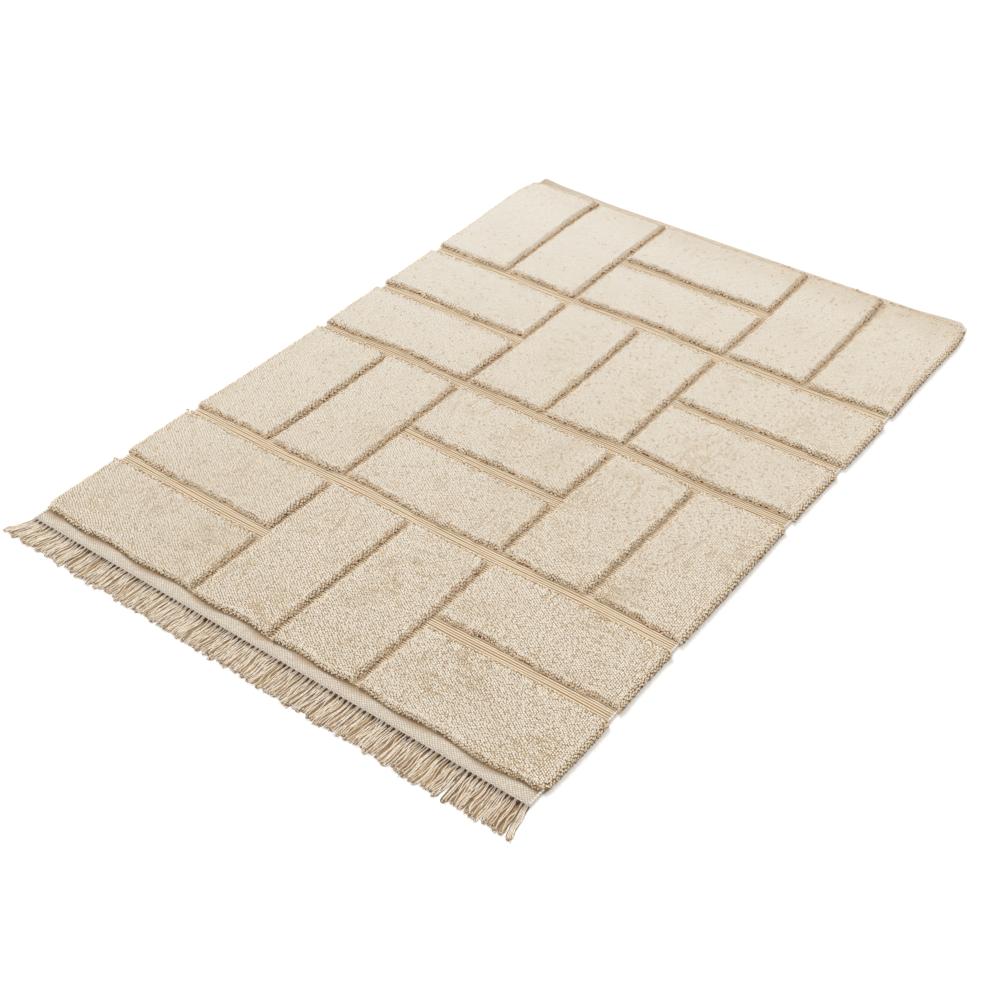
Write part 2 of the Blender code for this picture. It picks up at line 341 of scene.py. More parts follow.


# %% [markdown]
# ## Wool and how to draw it
# Undyed sheep's wool is matte and scatters light between its fibres, so every finish here is a rough
# dielectric with a little sheen. What tells the pieces apart is colour: the tips of the tufts are cream,
# their roots and the valleys of the ground weave take a warm tan that is painted shade, and the loose warp
# wool under the fringe is brown, partly with painted shadow.
# Colours are sRGB hex values. One function turns them to linear light, and one adds a node.

# %% Colour and nodes
def linear(hex_colour):
    """Linear RGBA of an sRGB hex colour: c / 12.92 below 0.04045, else ((c + 0.055) / 1.055) ** 2.4."""
    shares = [int(hex_colour[i:i + 2], 16) / 255 for i in (0, 2, 4)]
    return [c / 12.92 if c <= 0.04045 else ((c + 0.055) / 1.055) ** 2.4 for c in shares] + [1.0]


def add_node(tree, kind, inputs=None, **settings):
    """Adds a node: settings are its properties, and inputs are sockets' values, or sockets to link."""
    new = tree.nodes.new(kind)
    for key, value in settings.items():
        setattr(new, key, value)
    for key, value in (inputs or {}).items():
        if isinstance(value, bpy.types.NodeSocket):
            tree.links.new(value, new.inputs[key])
        else:
            new.inputs[key].default_value = value
    return new


MIX_FACTOR, MIX_A, MIX_B, MIX_RESULT = 0, 6, 7, 2  # a colour Mix node's sockets


def mixed(tree, factor, first, second):
    """The colour socket of a Mix node between two colours or sockets."""
    sockets = {MIX_FACTOR: factor, MIX_A: first, MIX_B: second}
    return add_node(tree, "ShaderNodeMix", sockets, data_type="RGBA").outputs[MIX_RESULT]


def between(tree, value, low, high, to_low=0.0, to_high=1.0):
    """A value's smooth rise from to_low at low to to_high at high."""
    sockets = {"Value": value, "From Min": low, "From Max": high, "To Min": to_low, "To Max": to_high}
    return add_node(tree, "ShaderNodeMapRange", sockets, interpolation_type="SMOOTHSTEP").outputs["Result"]


def wool_shader(material, colour, bump_size, bump_height, stretch=(1.0, 1.0, 1.0)):
    """Finishes a wool material: matte, a little sheen, and a fibrous bump whose grain is bump_size."""
    tree = material.node_tree
    shader = tree.nodes["Principled BSDF"]
    shader.inputs["Roughness"].default_value = 0.92
    shader.inputs["Specular IOR Level"].default_value = 0.18
    shader.inputs["Sheen Weight"].default_value = 0.12
    shader.inputs["Sheen Roughness"].default_value = 0.55
    shader.inputs["Subsurface Weight"].default_value = 0.30
    shader.inputs["Subsurface Radius"].default_value = (1.0, 0.80, 0.58)
    shader.inputs["Subsurface Scale"].default_value = 0.0030
    place = add_node(tree, "ShaderNodeTexCoord").outputs["Object"]
    grain = add_node(tree, "ShaderNodeMapping", {"Vector": place, "Scale": stretch}).outputs["Vector"]
    fibres = add_node(tree, "ShaderNodeTexNoise", {"Vector": grain, "Scale": 1 / bump_size, "Detail": 3.0})
    sockets = {"Height": fibres.outputs[0], "Strength": 0.6, "Distance": bump_height}
    bump = add_node(tree, "ShaderNodeBump", sockets)
    tree.links.new(bump.outputs["Normal"], shader.inputs["Normal"])
    tree.links.new(colour, shader.inputs["Base Color"])
    return material


def blank_material(name):
    """A new node material, and its node tree."""
    material = bpy.data.materials.new(name)
    material.use_nodes = True
    return material, material.node_tree


def attribute(tree, name):
    """The number that a mesh keeps at each point under this name."""
    return add_node(tree, "ShaderNodeAttribute", attribute_name=name).outputs["Fac"]


# %% [markdown]
# The pile's colour follows several things. How far up a tuft a point lies gives a painted shade on its lower
# part, between the tufts. How high it lies over the floor gives a brown painted shade at the foot of a block.
# At a block's side the tufts take a warmer painted shade. How worn the pile is also deepens the painted shade
# towards the near right. Each tuft keeps a tone of its own, because hand-spun wool is never even. At the foot
# that tone makes a dotted line of brown painted shade and pale tufts.

# %% The pile's wool, hand-spun and knotted
TIP_WHITE = linear("E8E5E0")
TIP_CREAM = linear("F6F0E6")
# Painted shade between the tufts: paler where the pile is dense, tanner where it is worn.
GAP_SHADE_PALE = linear("DEDAD2")
GAP_SHADE_TAN = linear("C8B18A")
# Painted shade on a block's rolled sides: warmer cream tips and tanner gaps.
SIDE_SHADE_CREAM = linear("F3E7D4")
SIDE_SHADE_TAN = linear("C29A62")
FLECK_TAN = linear("C4A678")
# Painted shade at the foot of a block: brown inside the rug, tan on its outer sides, and a paler halo above
# it.
FOOT_SHADE_BROWN = linear("8E4C0C")
EDGE_SHADE_TAN = linear("8F744E")
HALO_SHADE_TAN = linear("EED9B8")
FOOT_LOW, HALO_LOW, HALO_HIGH = 0.0070, 0.0105, 0.0150   # metres over the floor: brown painted shade, its paler halo, plain wool
FOOT_STRAY = 0.0070                    # metres that these stray up and down along a foot
FOOT_PALEST = 0.75                     # share of the halo's colour in the palest tuft at a foot
STRAY_NOISE = 70.0                     # noise scales: along a foot, and of warmer patches over the pile
PATCH_NOISE = 9.0
PATCH_WARMTH = 0.25                    # share of the gaps' colour in the warmest patches
TIP_FROM, TIP_FULL = 0.50, 0.92        # shares of a tuft's length where its tip's colour begins and is full


def noise(tree, place, scale):
    """A noise texture's value at a place."""
    return add_node(tree, "ShaderNodeTexNoise", {"Vector": place, "Scale": scale, "Detail": 2.0}).outputs[0]


def with_foot_shade(tree, place, wool):
    """The wool's colour, and under a height that strays from place to place the painted shade at a block's
    foot.
    """
    height = add_node(tree, "ShaderNodeSeparateXYZ", {"Vector": place}).outputs["Z"]
    lift = between(tree, noise(tree, place, STRAY_NOISE), 0.30, 0.70, FOOT_STRAY / 2, -FOOT_STRAY / 2)
    strayed = add_node(tree, "ShaderNodeMath", {0: height, 1: lift}, operation="ADD").outputs[0]
    dark = mixed(tree, attribute(tree, "outer"), FOOT_SHADE_BROWN, EDGE_SHADE_TAN)
    pale = mixed(tree, attribute(tree, "outer"), HALO_SHADE_TAN, wool)
    foot = mixed(tree, between(tree, attribute(tree, "tone"), 0.0, 1.0, 0.0, FOOT_PALEST), dark, pale)
    halo = mixed(tree, between(tree, strayed, FOOT_LOW, HALO_LOW), foot, pale)
    return mixed(tree, between(tree, strayed, HALO_LOW, HALO_HIGH), halo, wool)


def pile_wool(name):
    """The tufts: a painted shade between them that is deeper and warmer towards the near right and warmer on
    a block's sides, and a brown painted shade at the foot.
    """
    material, tree = blank_material(name)
    place = add_node(tree, "ShaderNodeTexCoord").outputs["Object"]
    wear_and_shade = attribute(tree, "wear_and_painted_shade")
    rim = attribute(tree, "rim")
    # Painted shade: the lower part of each tuft takes the gaps' colour, tanner on a block's sides and towards
    # the near right.
    gap_shade = mixed(tree, rim, mixed(tree, wear_and_shade, GAP_SHADE_PALE, GAP_SHADE_TAN), SIDE_SHADE_TAN)
    tip = mixed(tree, rim, mixed(tree, wear_and_shade, TIP_WHITE, TIP_CREAM), SIDE_SHADE_CREAM)
    tuft = mixed(tree, between(tree, attribute(tree, "depth"), TIP_FROM, TIP_FULL), gap_shade, tip)
    warm = between(tree, noise(tree, place, PATCH_NOISE), 0.50, 0.80, 0.0, PATCH_WARMTH)
    patchy = mixed(tree, warm, tuft, gap_shade)
    toned = mixed(tree, attribute(tree, "tone"), FLECK_TAN, patchy)
    return wool_shader(material, with_foot_shade(tree, place, toned), 0.0011, 0.0005)


def backing_wool(name):
    """The bed that the tufts stand in: a tan painted shade between the tufts, and a brown painted shade at
    the foot of a block.
    """
    material, tree = blank_material(name)
    place = add_node(tree, "ShaderNodeTexCoord").outputs["Object"]
    gap_shade = mixed(tree, attribute(tree, "wear_and_painted_shade"), GAP_SHADE_PALE, GAP_SHADE_TAN)
    return wool_shader(material, with_foot_shade(tree, place, gap_shade), 0.0020, 0.0008)


PILE = pile_wool("knotted_cream_wool")
BACKING = backing_wool("painted_shade_between_tufts")

# %% The flat weave's wool: ribs, bands and selvages
# Crest colours, and the painted shade in the valleys between the threads.
RIB_CREAM = linear("E8DAC2")
RIB_VALLEY_SHADE = linear("A9865C")
BAND_CREAM = linear("F3EEE7")
BAND_VALLEY_SHADE = linear("CBC0B0")
FOOT_SHADE = linear("9C7F5C")


def flat_weave(name, crest, valley):
    """Tightly beaten weft: the wool's colour on the crests of the threads and a tan painted shade in the
    valleys between them, darkened further by the under_pile value.
    """
    material, tree = blank_material(name)
    lit = mixed(tree, between(tree, attribute(tree, "depth"), 0.20, 0.95), valley, crest)
    shaded = mixed(tree, attribute(tree, "under_pile"), lit, FOOT_SHADE)
    return wool_shader(material, shaded, 0.0012, 0.0004)


RIBBED = flat_weave("ribbed_flat_woven_wool", RIB_CREAM, RIB_VALLEY_SHADE)
PLAIN = flat_weave("plain_woven_wool", BAND_CREAM, BAND_VALLEY_SHADE)

# %% [markdown]
# ## The ground cloth
# The real rug is one cloth, 1.6 m wide and 2.3 m long, beaten flat on the loom. It runs under the whole pile
# and shows in the channels and at both ends. Here it is a thin closed sheet that follows the uneven outline.

# %% Ground cloth
GROUND_TOP = 0.0040
CLOTH_COLUMNS, CLOTH_ROWS = 41, 57
END_ROWS = 3
CLOTH_INSET = 0.0070      # metres from the even side, so that the selvage cords hide the cloth's own sides


def ground_cloth():
    """A grid over the even layout, whose last rows reach to the far band's uneven end."""
    columns = np.linspace(CLOTH_INSET, RUG_WIDTH - CLOTH_INSET, CLOTH_COLUMNS)
    rows = np.concatenate([[-NEAR_BAND], np.linspace(0.0, PILE_LENGTH, CLOTH_ROWS)])
    x, y = np.meshgrid(columns, rows)
    far_x = np.tile(columns, (END_ROWS, 1))
    reach = between_rows(FAR_BAND, far_x / RUG_WIDTH)[..., 0]
    far_y = PILE_LENGTH + reach * np.linspace(0, 1, END_ROWS + 1)[1:, None]
    x, y = np.concatenate([x, far_x]), np.concatenate([y, far_y])
    across, along = uneven(x, y)
    top = np.stack([across, along, np.full_like(x, GROUND_TOP)], axis=-1)
    return closed_sheet(top, 0.0)


cloth_points, cloth_faces = ground_cloth()
# The cloth shows between the ribs, in the valleys' painted shade.
cloth = make_piece("ground_cloth", cloth_points, cloth_faces, RIBBED,
                   {"depth": np.full(len(cloth_points), 0.2)})

# %% [markdown]
# ## Weft ribs
# Where no tufts are knotted in, thick weft threads lie side by side and look like fine cords. They show
# as five or six ribs in a channel and as short bars, like a ladder's rungs, in a crevice. All of them
# belong to one even lattice, so a rib in a channel meets the rungs beside it. A rib is a half ellipse
# carried along the weft.

# %% Ribs in the channels and rungs in the crevices
RIB_PITCH = CELL_LENGTH / 2 / 38
RIB_HALF = RIB_PITCH * 0.47
RIB_RISE = 0.0034
RIB_FOOT = 0.0034
RIB_PROFILE = 6
RIB_STEP = 0.020
RIBS_EACH_SIDE = 4
RUNG_REACH = 0.013
RUNG_STEPS = 4
RIB_SWAY, RIB_SWAY_WAVE = 0.0007, 17.0   # metres that a rib strays from its line, and radians per metre
RIB_SHARES = (0.88, 1.00)              # of the even half width and height that a rib really has
RIB_SEED = 3

rib_draws = np.random.default_rng(RIB_SEED)


def rib_runs(starts, ends, lines, steps):
    """Ribs from arrays of starts, ends and lines: half ellipses carried along the weft, closed below."""
    share = np.linspace(0.0, 1.0, steps)
    x = starts[:, None] + (ends - starts)[:, None] * share
    phase = rib_draws.uniform(0, 2 * math.pi, (len(starts), 1))
    size = rib_draws.uniform(*RIB_SHARES, len(starts))[:, None, None]
    y = lines[:, None] + RIB_SWAY * np.sin(RIB_SWAY_WAVE * x + phase)
    across, along = uneven(x, y, feet=0.0)
    turn = np.linspace(0.0, math.pi, RIB_PROFILE)
    points = np.empty((len(starts), steps, RIB_PROFILE, 3))
    points[..., 0] = across[..., None]
    points[..., 1] = along[..., None] - RIB_HALF * size * np.cos(turn)
    points[..., 2] = RIB_FOOT + RIB_RISE * size * np.sin(turn)
    height = np.broadcast_to(size * np.sin(turn), points.shape[:-1])
    return points, height


def tubes(points):
    """Closed tubes from points (tube, step, around, 3): wrapped grids with flat quads over both ends."""
    count, steps, around, _ = points.shape
    body = grid_faces(steps, around, wrap=True)
    fans = np.array([(0, k, k + 1, k + 2) for k in range(1, around - 2, 2)])
    one = np.concatenate([body[:, ::-1], fans, fans[:, ::-1] + (steps - 1) * around])
    starts = np.arange(count)[:, None, None] * steps * around
    return points.reshape(-1, 3), (one[None] + starts).reshape(-1, 4)


def channel_spans(k):
    """Where the channel on line k runs: right across, or over every second cell and a little beyond."""
    if k % 2 == 0:
        return [(0.0, RUG_WIDTH)]
    cells = [c for c in range(CELLS_ACROSS) if (c + k // 2) % 2 == 0]
    lows = [max(0.0, c * CELL_WIDTH - RUNG_REACH) for c in cells]
    highs = [min(RUG_WIDTH, (c + 1) * CELL_WIDTH + RUNG_REACH) for c in cells]
    return list(zip(lows, highs))


def rung_lines(k):
    """Lattice lines of the crevice on line k where the ground is bare and no channel's ribs pass."""
    lines = (np.arange(int(PILE_LENGTH / RIB_PITCH)) + 0.5) * RIB_PITCH
    spacing = CELL_LENGTH / 2 if k % 2 == 0 else CELL_LENGTH
    to_channel = np.abs(lines - spacing * np.round(lines / spacing))
    at_end = (lines < spacing / 2) | (lines > PILE_LENGTH - spacing / 2)
    free = at_end | (to_channel > RIBS_EACH_SIDE * RIB_PITCH)
    cells = np.floor(lines / CELL_LENGTH)
    halved = (k % 2 == 0) | ((k // 2 + cells) % 2 == 1)
    return lines[free & halved]


def weft_ribs():
    """Long ribs in every channel and short rungs in every crevice, as closed tubes."""
    runs = []
    offsets = (np.arange(-RIBS_EACH_SIDE, RIBS_EACH_SIDE) + 0.5) * RIB_PITCH
    many = np.ones(len(offsets))
    for k in range(1, 2 * CELLS_ALONG):
        line = k * CELL_LENGTH / 2
        for low, high in channel_spans(k):
            steps = int((high - low) / RIB_STEP)
            runs.append(rib_runs(low * many, high * many, line + offsets, steps))
    for k in range(1, 2 * CELLS_ACROSS):
        lines = rung_lines(k)
        middle = np.full_like(lines, k * CELL_WIDTH / 2)
        runs.append(rib_runs(middle - RUNG_REACH, middle + RUNG_REACH, lines, RUNG_STEPS))
    points, faces = joined([tubes(run) for run, _ in runs])
    return points, faces, np.concatenate([height.ravel() for _, height in runs])


rib_points, rib_faces, rib_heights = weft_ribs()
make_piece("weft_ribs", rib_points, rib_faces, RIBBED, {"depth": rib_heights})

# %% [markdown]
# ## The end bands
# Each end is closed by a band of plain weave. Warp and weft pass over and under each other, so the
# surface is a checkerboard of small beads. A grid with one point to each thread crossing gives just
# that: every second point is raised.

# %% Bands in plain weave
BEAD = 0.0040          # half of a plain weave's repeat, as coarse as it needs to be to show
BAND_TOP = 0.0049
BEAD_RISE = 0.0010
BEAD_SHARES = (0.55, 1.10)   # of the even rise that a thread of hand-spun yarn really stands up
BAND_FOOT = 0.0030
BAND_TUCK = 0.010
UNDER_PILE_REACH, UNDER_PILE_MOST = 0.018, 0.95   # how far and how much the pile darkens the near band
SHADE_LOBES, LOBE_WAVE = 0.45, 36.0   # share by which that reach swells and shrinks, and radians per metre
FAR_CORNER_SHADE, FAR_CORNER_REACH = 0.45, 0.080   # the far band's darker left corner
FAR_TUCK = 0.006             # metres of the far band that lie under the pile
FAR_LENGTH = 0.030           # metres of far band that the rows of its grid are counted for
BAND_SEED = 9


def cut_low(points, quads):
    """Triangles from quads, each cut between its two lower corners, so that a raised point is a bead."""
    z = points[quads, 2]
    from_first = (z[:, 0] + z[:, 2] <= z[:, 1] + z[:, 3])[:, None]
    one = np.where(from_first, quads[:, [0, 1, 2]], quads[:, [1, 2, 3]])
    other = np.where(from_first, quads[:, [0, 2, 3]], quads[:, [1, 3, 0]])
    return np.concatenate([one, other])


band_draws = np.random.default_rng(BAND_SEED)


def plain_weave(x, y):
    """A closed sheet over a grid of even places, whose points rise and fall like an uneven checkerboard."""
    rows, columns = x.shape
    bead = (np.arange(rows)[:, None] + np.arange(columns)) % 2 * band_draws.uniform(*BEAD_SHARES, x.shape)
    across, along = uneven(x, y)
    top = np.stack([across, along, BAND_TOP + BEAD_RISE * (2.0 * bead - 1.0)], axis=-1)
    points, faces = closed_sheet(top, BAND_FOOT)
    reach = UNDER_PILE_REACH * (1.0 + SHADE_LOBES * np.sin(LOBE_WAVE * x + np.sin(SCALLOP_DRIFT * x)))
    near = UNDER_PILE_MOST * eased(1.0 + y / reach)
    far = FAR_CORNER_SHADE * np.exp(-x / FAR_CORNER_REACH)
    shade = np.where(y < PILE_LENGTH / 2, near, far)
    depth = np.concatenate([bead.ravel(), np.zeros(bead.size)])
    return points, cut_low(points, faces), {"depth": depth, "under_pile": np.tile(shade.ravel(), 2)}


def band_grid(length):
    """Columns a bead apart across the rug, and shares of a band's length about a bead apart."""
    columns = np.linspace(0.0, RUG_WIDTH, int(RUG_WIDTH / BEAD) + 1)
    shares = np.linspace(0.0, 1.0, int(length / BEAD) + 1)
    return np.meshgrid(columns, shares)


near_x, near_share = band_grid(NEAR_BAND + BAND_TUCK)
near_y = -NEAR_BAND + near_share * (NEAR_BAND + BAND_TUCK)
points, faces, values = plain_weave(near_x, near_y)
make_piece("near_band_weave", points, faces, PLAIN, values)

far_x, far_share = band_grid(FAR_LENGTH)
far_reach = between_rows(FAR_BAND, far_x / RUG_WIDTH)[..., 0]
far_y = PILE_LENGTH - FAR_TUCK + far_share * (far_reach + FAR_TUCK)
points, faces, values = plain_weave(far_x, far_y)
make_piece("far_band_weave", points, faces, PLAIN, values)

# %% [markdown]
# ## The bed of each block
# Under the tufts of a block lies the mass of their roots. It is a low dome with rolled sides, a little
# smaller than the block all round, so that the tufts are what shows. The dome is a grid over the block
# whose lines crowd together at its sides, where the surface turns down.

# %% Blocks and their beds
BED_DEPTH = (0.0018, 0.0050)           # metres under the surface, where the pile is dense and where worn
BED_FOOT = 0.0030
BED_LEAST = 0.0005                     # metres that a bed is thick at least, at its sides
WEAR_AND_SHADE_LEAST, WEAR_AND_SHADE_RIGHT, WEAR_AND_SHADE_NEAR = 0.10, 0.35, 0.65   # wear and painted shade everywhere, more to the right, and more nearby
OUTER_REACH = 0.010
BED_SIDE_LINES = (0.0, 0.0006, 0.0022, 0.0050, 0.0095, 0.0160)
BED_STEP = 0.040


def block_feet():
    """The feet of every block as (column, row, x low, x high, y low, y high) on the even layout."""
    blocks = []
    for column in range(CELLS_ACROSS):
        for row in range(CELLS_ALONG):
            x0 = column * CELL_WIDTH + (CREVICE_WIDTH / 2 if column else 0.0)
            x1 = (column + 1) * CELL_WIDTH - (CREVICE_WIDTH / 2 if column < CELLS_ACROSS - 1 else 0.0)
            y0 = row * CELL_LENGTH + (CHANNEL_WIDTH / 2 if row else 0.0)
            y1 = (row + 1) * CELL_LENGTH - (CHANNEL_WIDTH / 2 if row < CELLS_ALONG - 1 else 0.0)
            if (column + row) % 2 == 0:
                middle = (row + 0.5) * CELL_LENGTH
                blocks.append((column, row, x0, x1, y0, middle - CHANNEL_WIDTH / 2))
                blocks.append((column, row, x0, x1, middle + CHANNEL_WIDTH / 2, y1))
            else:
                middle = (column + 0.5) * CELL_WIDTH
                blocks.append((column, row, x0, middle - CREVICE_WIDTH / 2, y0, y1))
                blocks.append((column, row, middle + CREVICE_WIDTH / 2, x1, y0, y1))
    return blocks


BLOCKS = block_feet()


def bed_lines(low, high):
    """Grid lines from foot to foot, close together where the side rolls over."""
    side = np.array(BED_SIDE_LINES)
    inner = np.linspace(low + side[-1], high - side[-1], int((high - low) / BED_STEP) + 1)
    return np.concatenate([low + side[:-1], inner, (high - side[:-1])[::-1]])


def wear_and_painted_shade(x, y):
    """How worn and open the pile is, and how deep the painted shade of its gaps, from 0 at the far left to 1
    at the near right, on the even layout.
    """
    return np.clip(WEAR_AND_SHADE_LEAST + WEAR_AND_SHADE_RIGHT * x / RUG_WIDTH + WEAR_AND_SHADE_NEAR * (1.0 - y / PILE_LENGTH), 0.0, 1.0)


def outer(x, y):
    """1 close to the rug's own sides and ends, and 0 elsewhere."""
    return (to_rug_side(x, y) < OUTER_REACH).astype(float)


def by_wear(pair, wear_and_shade):
    """A size between its value in dense pile and its value in worn pile."""
    return pair[0] + (pair[1] - pair[0]) * wear_and_shade


def block_bed(x0, x1, y0, y1):
    """The closed dome under one block's tufts, and how worn the pile is, with its painted shade, over each of
    its points.
    """
    x, y = np.meshgrid(bed_lines(x0, x1), bed_lines(y0, y1))
    wear_and_shade = wear_and_painted_shade(x, y)
    top = under_surface(x, y, by_wear(BED_DEPTH, wear_and_shade)[..., None])
    top[..., 2] = np.maximum(top[..., 2], BED_FOOT + BED_LEAST)
    points, faces = closed_sheet(top, BED_FOOT)
    return points, faces, np.tile(wear_and_shade.ravel(), 2), np.tile(outer(x, y).ravel(), 2)


block_beds = [block_bed(*block[2:]) for block in BLOCKS]
bed_points, bed_faces = joined([bed[:2] for bed in block_beds])
make_piece("pile_beds", bed_points, bed_faces, BACKING, {
    "wear_and_painted_shade": np.concatenate([bed[2] for bed in block_beds]),
    "outer": np.concatenate([bed[3] for bed in block_beds])})

# %% [markdown]
# ## Tufts
# A tuft is a short end of thick hand-spun yarn that stands out of the bed, leans towards the fringe and
# swells near its end. It is drawn as a spindle: a root and a tip, joined by a ring of four points, and
# bent forwards. A few thousand make a block, and they are worked out many at once, as arrays.

# %% One tuft's form, for many at once
TUFT_SIDES = 4
TUFT_BELLY = 0.70                       # share of the length at which a tuft is thickest
TUFT_CURL = 0.17
FLOOR_GAP = 0.0004                      # nothing of a tuft lies lower than this over the floor
FLOOR_NEAR = 0.0024                     # and from this height down it is pressed together towards it


def above_floor(heights):
    """Heights kept over the floor: under FLOOR_NEAR they near FLOOR_GAP as an exponential does."""
    room = FLOOR_NEAR - FLOOR_GAP
    pressed = FLOOR_GAP + room * np.exp((np.minimum(heights, FLOOR_NEAR) - FLOOR_NEAR) / room)
    return np.where(heights < FLOOR_NEAR, pressed, heights)


def tuft_faces():
    """Triangles of one spindle: a fan round its root and a fan round its tip."""
    around = 1 + np.arange(TUFT_SIDES)
    ahead = np.roll(around, -1)
    lower = np.stack([np.zeros_like(around), ahead, around], axis=-1)
    upper = np.stack([around, ahead, np.full_like(around, TUFT_SIDES + 1)], axis=-1)
    return np.concatenate([lower, upper])


def spindles(roots, axes, leans, lengths, girths):
    """Spindles from roots along axes, bent towards leans; also each point's share of the length."""
    side = unit(np.cross(axes, leans))
    front = np.cross(axes, side)
    angles = 2 * math.pi * (np.arange(TUFT_SIDES) + 0.5) / TUFT_SIDES
    points, shares = [], []
    for level in (0.0, TUFT_BELLY, 1.0):
        middle = roots + lengths[:, None] * (level * axes + TUFT_CURL * level ** 2 * leans)
        turns = angles if level == TUFT_BELLY else angles[:1]
        girth = girths[:, None, None] * (level == TUFT_BELLY)
        ring = np.cos(turns)[None, :, None] * side[:, None] + np.sin(turns)[None, :, None] * front[:, None]
        points.append(middle[:, None] + girth * ring)
        shares += [level] * len(turns)
    points = np.concatenate(points, axis=1)
    points[..., 2] = above_floor(points[..., 2])
    one = tuft_faces()
    starts = np.arange(len(roots))[:, None, None] * points.shape[1]
    faces = (one[None] + starts).reshape(-1, 3)
    return points.reshape(-1, 3), faces, np.tile(shares, len(roots))


# %% [markdown]
# ### Where the tufts stand
# The weaver knots row after row, so the tufts stand in columns along the warp and lie down towards the
# fringe. Use opens the pile: here and there a row or a column of tufts parts from the next one and its
# tan roots show. Every row and column has a slow sine of its own, and where that is high, inside some
# patches, the tufts are tanner and lower.

# %% Rows and columns of tufts, and where they part
TUFT_ACROSS = (0.0078, 0.0053)              # the knots' pitch along the weft, in dense and in worn pile
TUFT_ALONG = (0.0098, 0.0065)               # and along the warp
JITTER_ACROSS, JITTER_ALONG = (0.04, 0.07), (0.10, 0.16)   # shares of the pitch, in dense and worn pile
SIDE_JITTER = 0.45                          # share of those steps that is left at the foot of a block
SIDE_STAGGER = 0.40                         # share of the pitch that a side's rows move, in and out by turns
ROLL_RADIUS = (EDGE_ROLL + PILE_HEIGHT) / 2   # of the circle that a rolled side is close to
LEAST_INSIDE = 0.0002
PART_WAVE, PART_ABOVE = 38.0, 0.50
ROW_PATCHES = ((9.0, 13.0, 0.4), (-17.0, 8.0, 2.1), (23.0, 5.0, 4.0))
COLUMN_PATCHES = ((12.0, -7.0, 1.4), (5.0, 19.0, 3.1), (-21.0, 9.0, 5.0))
PATCH_LOW, PATCH_HIGH = 0.15, 0.60
LIE = np.array([0.10, -0.99, 0.0])


def patchiness(waves, x, y):
    """How much the pile opens at a place, 0 to 1: the mean of crossing sines, eased."""
    mean = sum(np.sin(a * x + b * y + phase) for a, b, phase in waves) / len(waves)
    return eased((mean - PATCH_LOW) / (PATCH_HIGH - PATCH_LOW))


def parted(place, phases):
    """How far each line of tufts parts from the next, 0 to 1, along the line: the crest of a slow sine."""
    return eased((np.sin(PART_WAVE * place + phases) - PART_ABOVE) / (1.0 - PART_ABOVE))


def rolled_lines(low, high, pitch, stagger=0.0):
    """Lines from foot to foot at an even pitch over the surface, moved by a share of it on rolled sides.

    On a side the inset is the roll times one less the cosine of the way walked over the roll's radius.
    """
    arc = ROLL_RADIUS * math.pi / 2
    whole = 2 * arc + (high - low - 2 * EDGE_ROLL)
    walked = np.linspace(pitch, whole - pitch, int(whole / pitch) - 1)
    to_side = np.minimum(walked, whole - walked)
    to_side = to_side + stagger * pitch * np.maximum(0.0, 1.0 - to_side / arc)
    rolled = EDGE_ROLL * (1.0 - np.cos(to_side / ROLL_RADIUS))
    inset = np.where(to_side < arc, rolled, to_side - arc + EDGE_ROLL)
    return np.where(walked < whole / 2, low + inset, high - inset)


def inner_places(x0, x1, y0, y1, rng):
    """Columns of places on a block, each off its even place by a little, and how parted each is."""
    block_wear = wear_and_painted_shade((x0 + x1) / 2, (y0 + y1) / 2)
    pitch_across, pitch_along = by_wear(TUFT_ACROSS, block_wear), by_wear(TUFT_ALONG, block_wear)
    x, y = np.meshgrid(rolled_lines(x0, x1, pitch_across, -SIDE_STAGGER), rolled_lines(y0, y1, pitch_along))
    x[1::2] = rolled_lines(x0, x1, pitch_across, SIDE_STAGGER)
    rows, columns = x.shape
    wear_and_shade = wear_and_painted_shade(x, y)
    by_row = parted(x, rng.uniform(0, 2 * math.pi, (rows, 1))) * patchiness(ROW_PATCHES, x, y)
    by_column = parted(y, rng.uniform(0, 2 * math.pi, (1, columns))) * patchiness(COLUMN_PATCHES, x, y)
    level_x = np.clip(np.minimum(x - x0, x1 - x) / EDGE_ROLL, SIDE_JITTER, 1.0)
    level_y = np.clip(np.minimum(y - y0, y1 - y) / EDGE_ROLL, SIDE_JITTER, 1.0)
    y = y + level_y * (np.arange(columns) % 2 - 0.5) * pitch_along / 2
    x = x + level_x * rng.uniform(-1, 1, x.shape) * by_wear(JITTER_ACROSS, wear_and_shade) * pitch_across
    y = y + level_y * rng.uniform(-1, 1, y.shape) * by_wear(JITTER_ALONG, wear_and_shade) * pitch_along
    return x.ravel(), y.ravel(), (np.maximum(by_row, by_column) * wear_and_shade).ravel()


# %% Tufts round the sides of a block
SKIRT_INSET = 0.0006
SKIRT_PITCH = 0.0062
SKIRT_HEIGHT = (0.0026, 0.0056)         # metres over the floor, of the surface that the lowest tufts stand on
SKIRT_STRAY = 0.25                      # share of the pitch that a place strays along the outline
ARC_POINTS = 8


def rounded_outline(x0, x1, y0, y1, radii):
    """Points round a rectangle whose four corners are arcs, counter-clockwise from the low corner."""
    corners = ((x0, y0, 1, 1, math.pi), (x1, y0, -1, 1, 1.5 * math.pi),
               (x1, y1, -1, -1, 0.0), (x0, y1, 1, -1, 0.5 * math.pi))
    arcs = []
    for (x, y, inward_x, inward_y, start), radius in zip(corners, radii):
        turn = start + np.linspace(0.0, math.pi / 2, ARC_POINTS)
        middle = np.array([x + inward_x * radius, y + inward_y * radius])
        arcs.append(middle + radius * np.stack([np.cos(turn), np.sin(turn)], axis=-1))
    outline = np.concatenate(arcs)
    return np.concatenate([outline, outline[:1]])


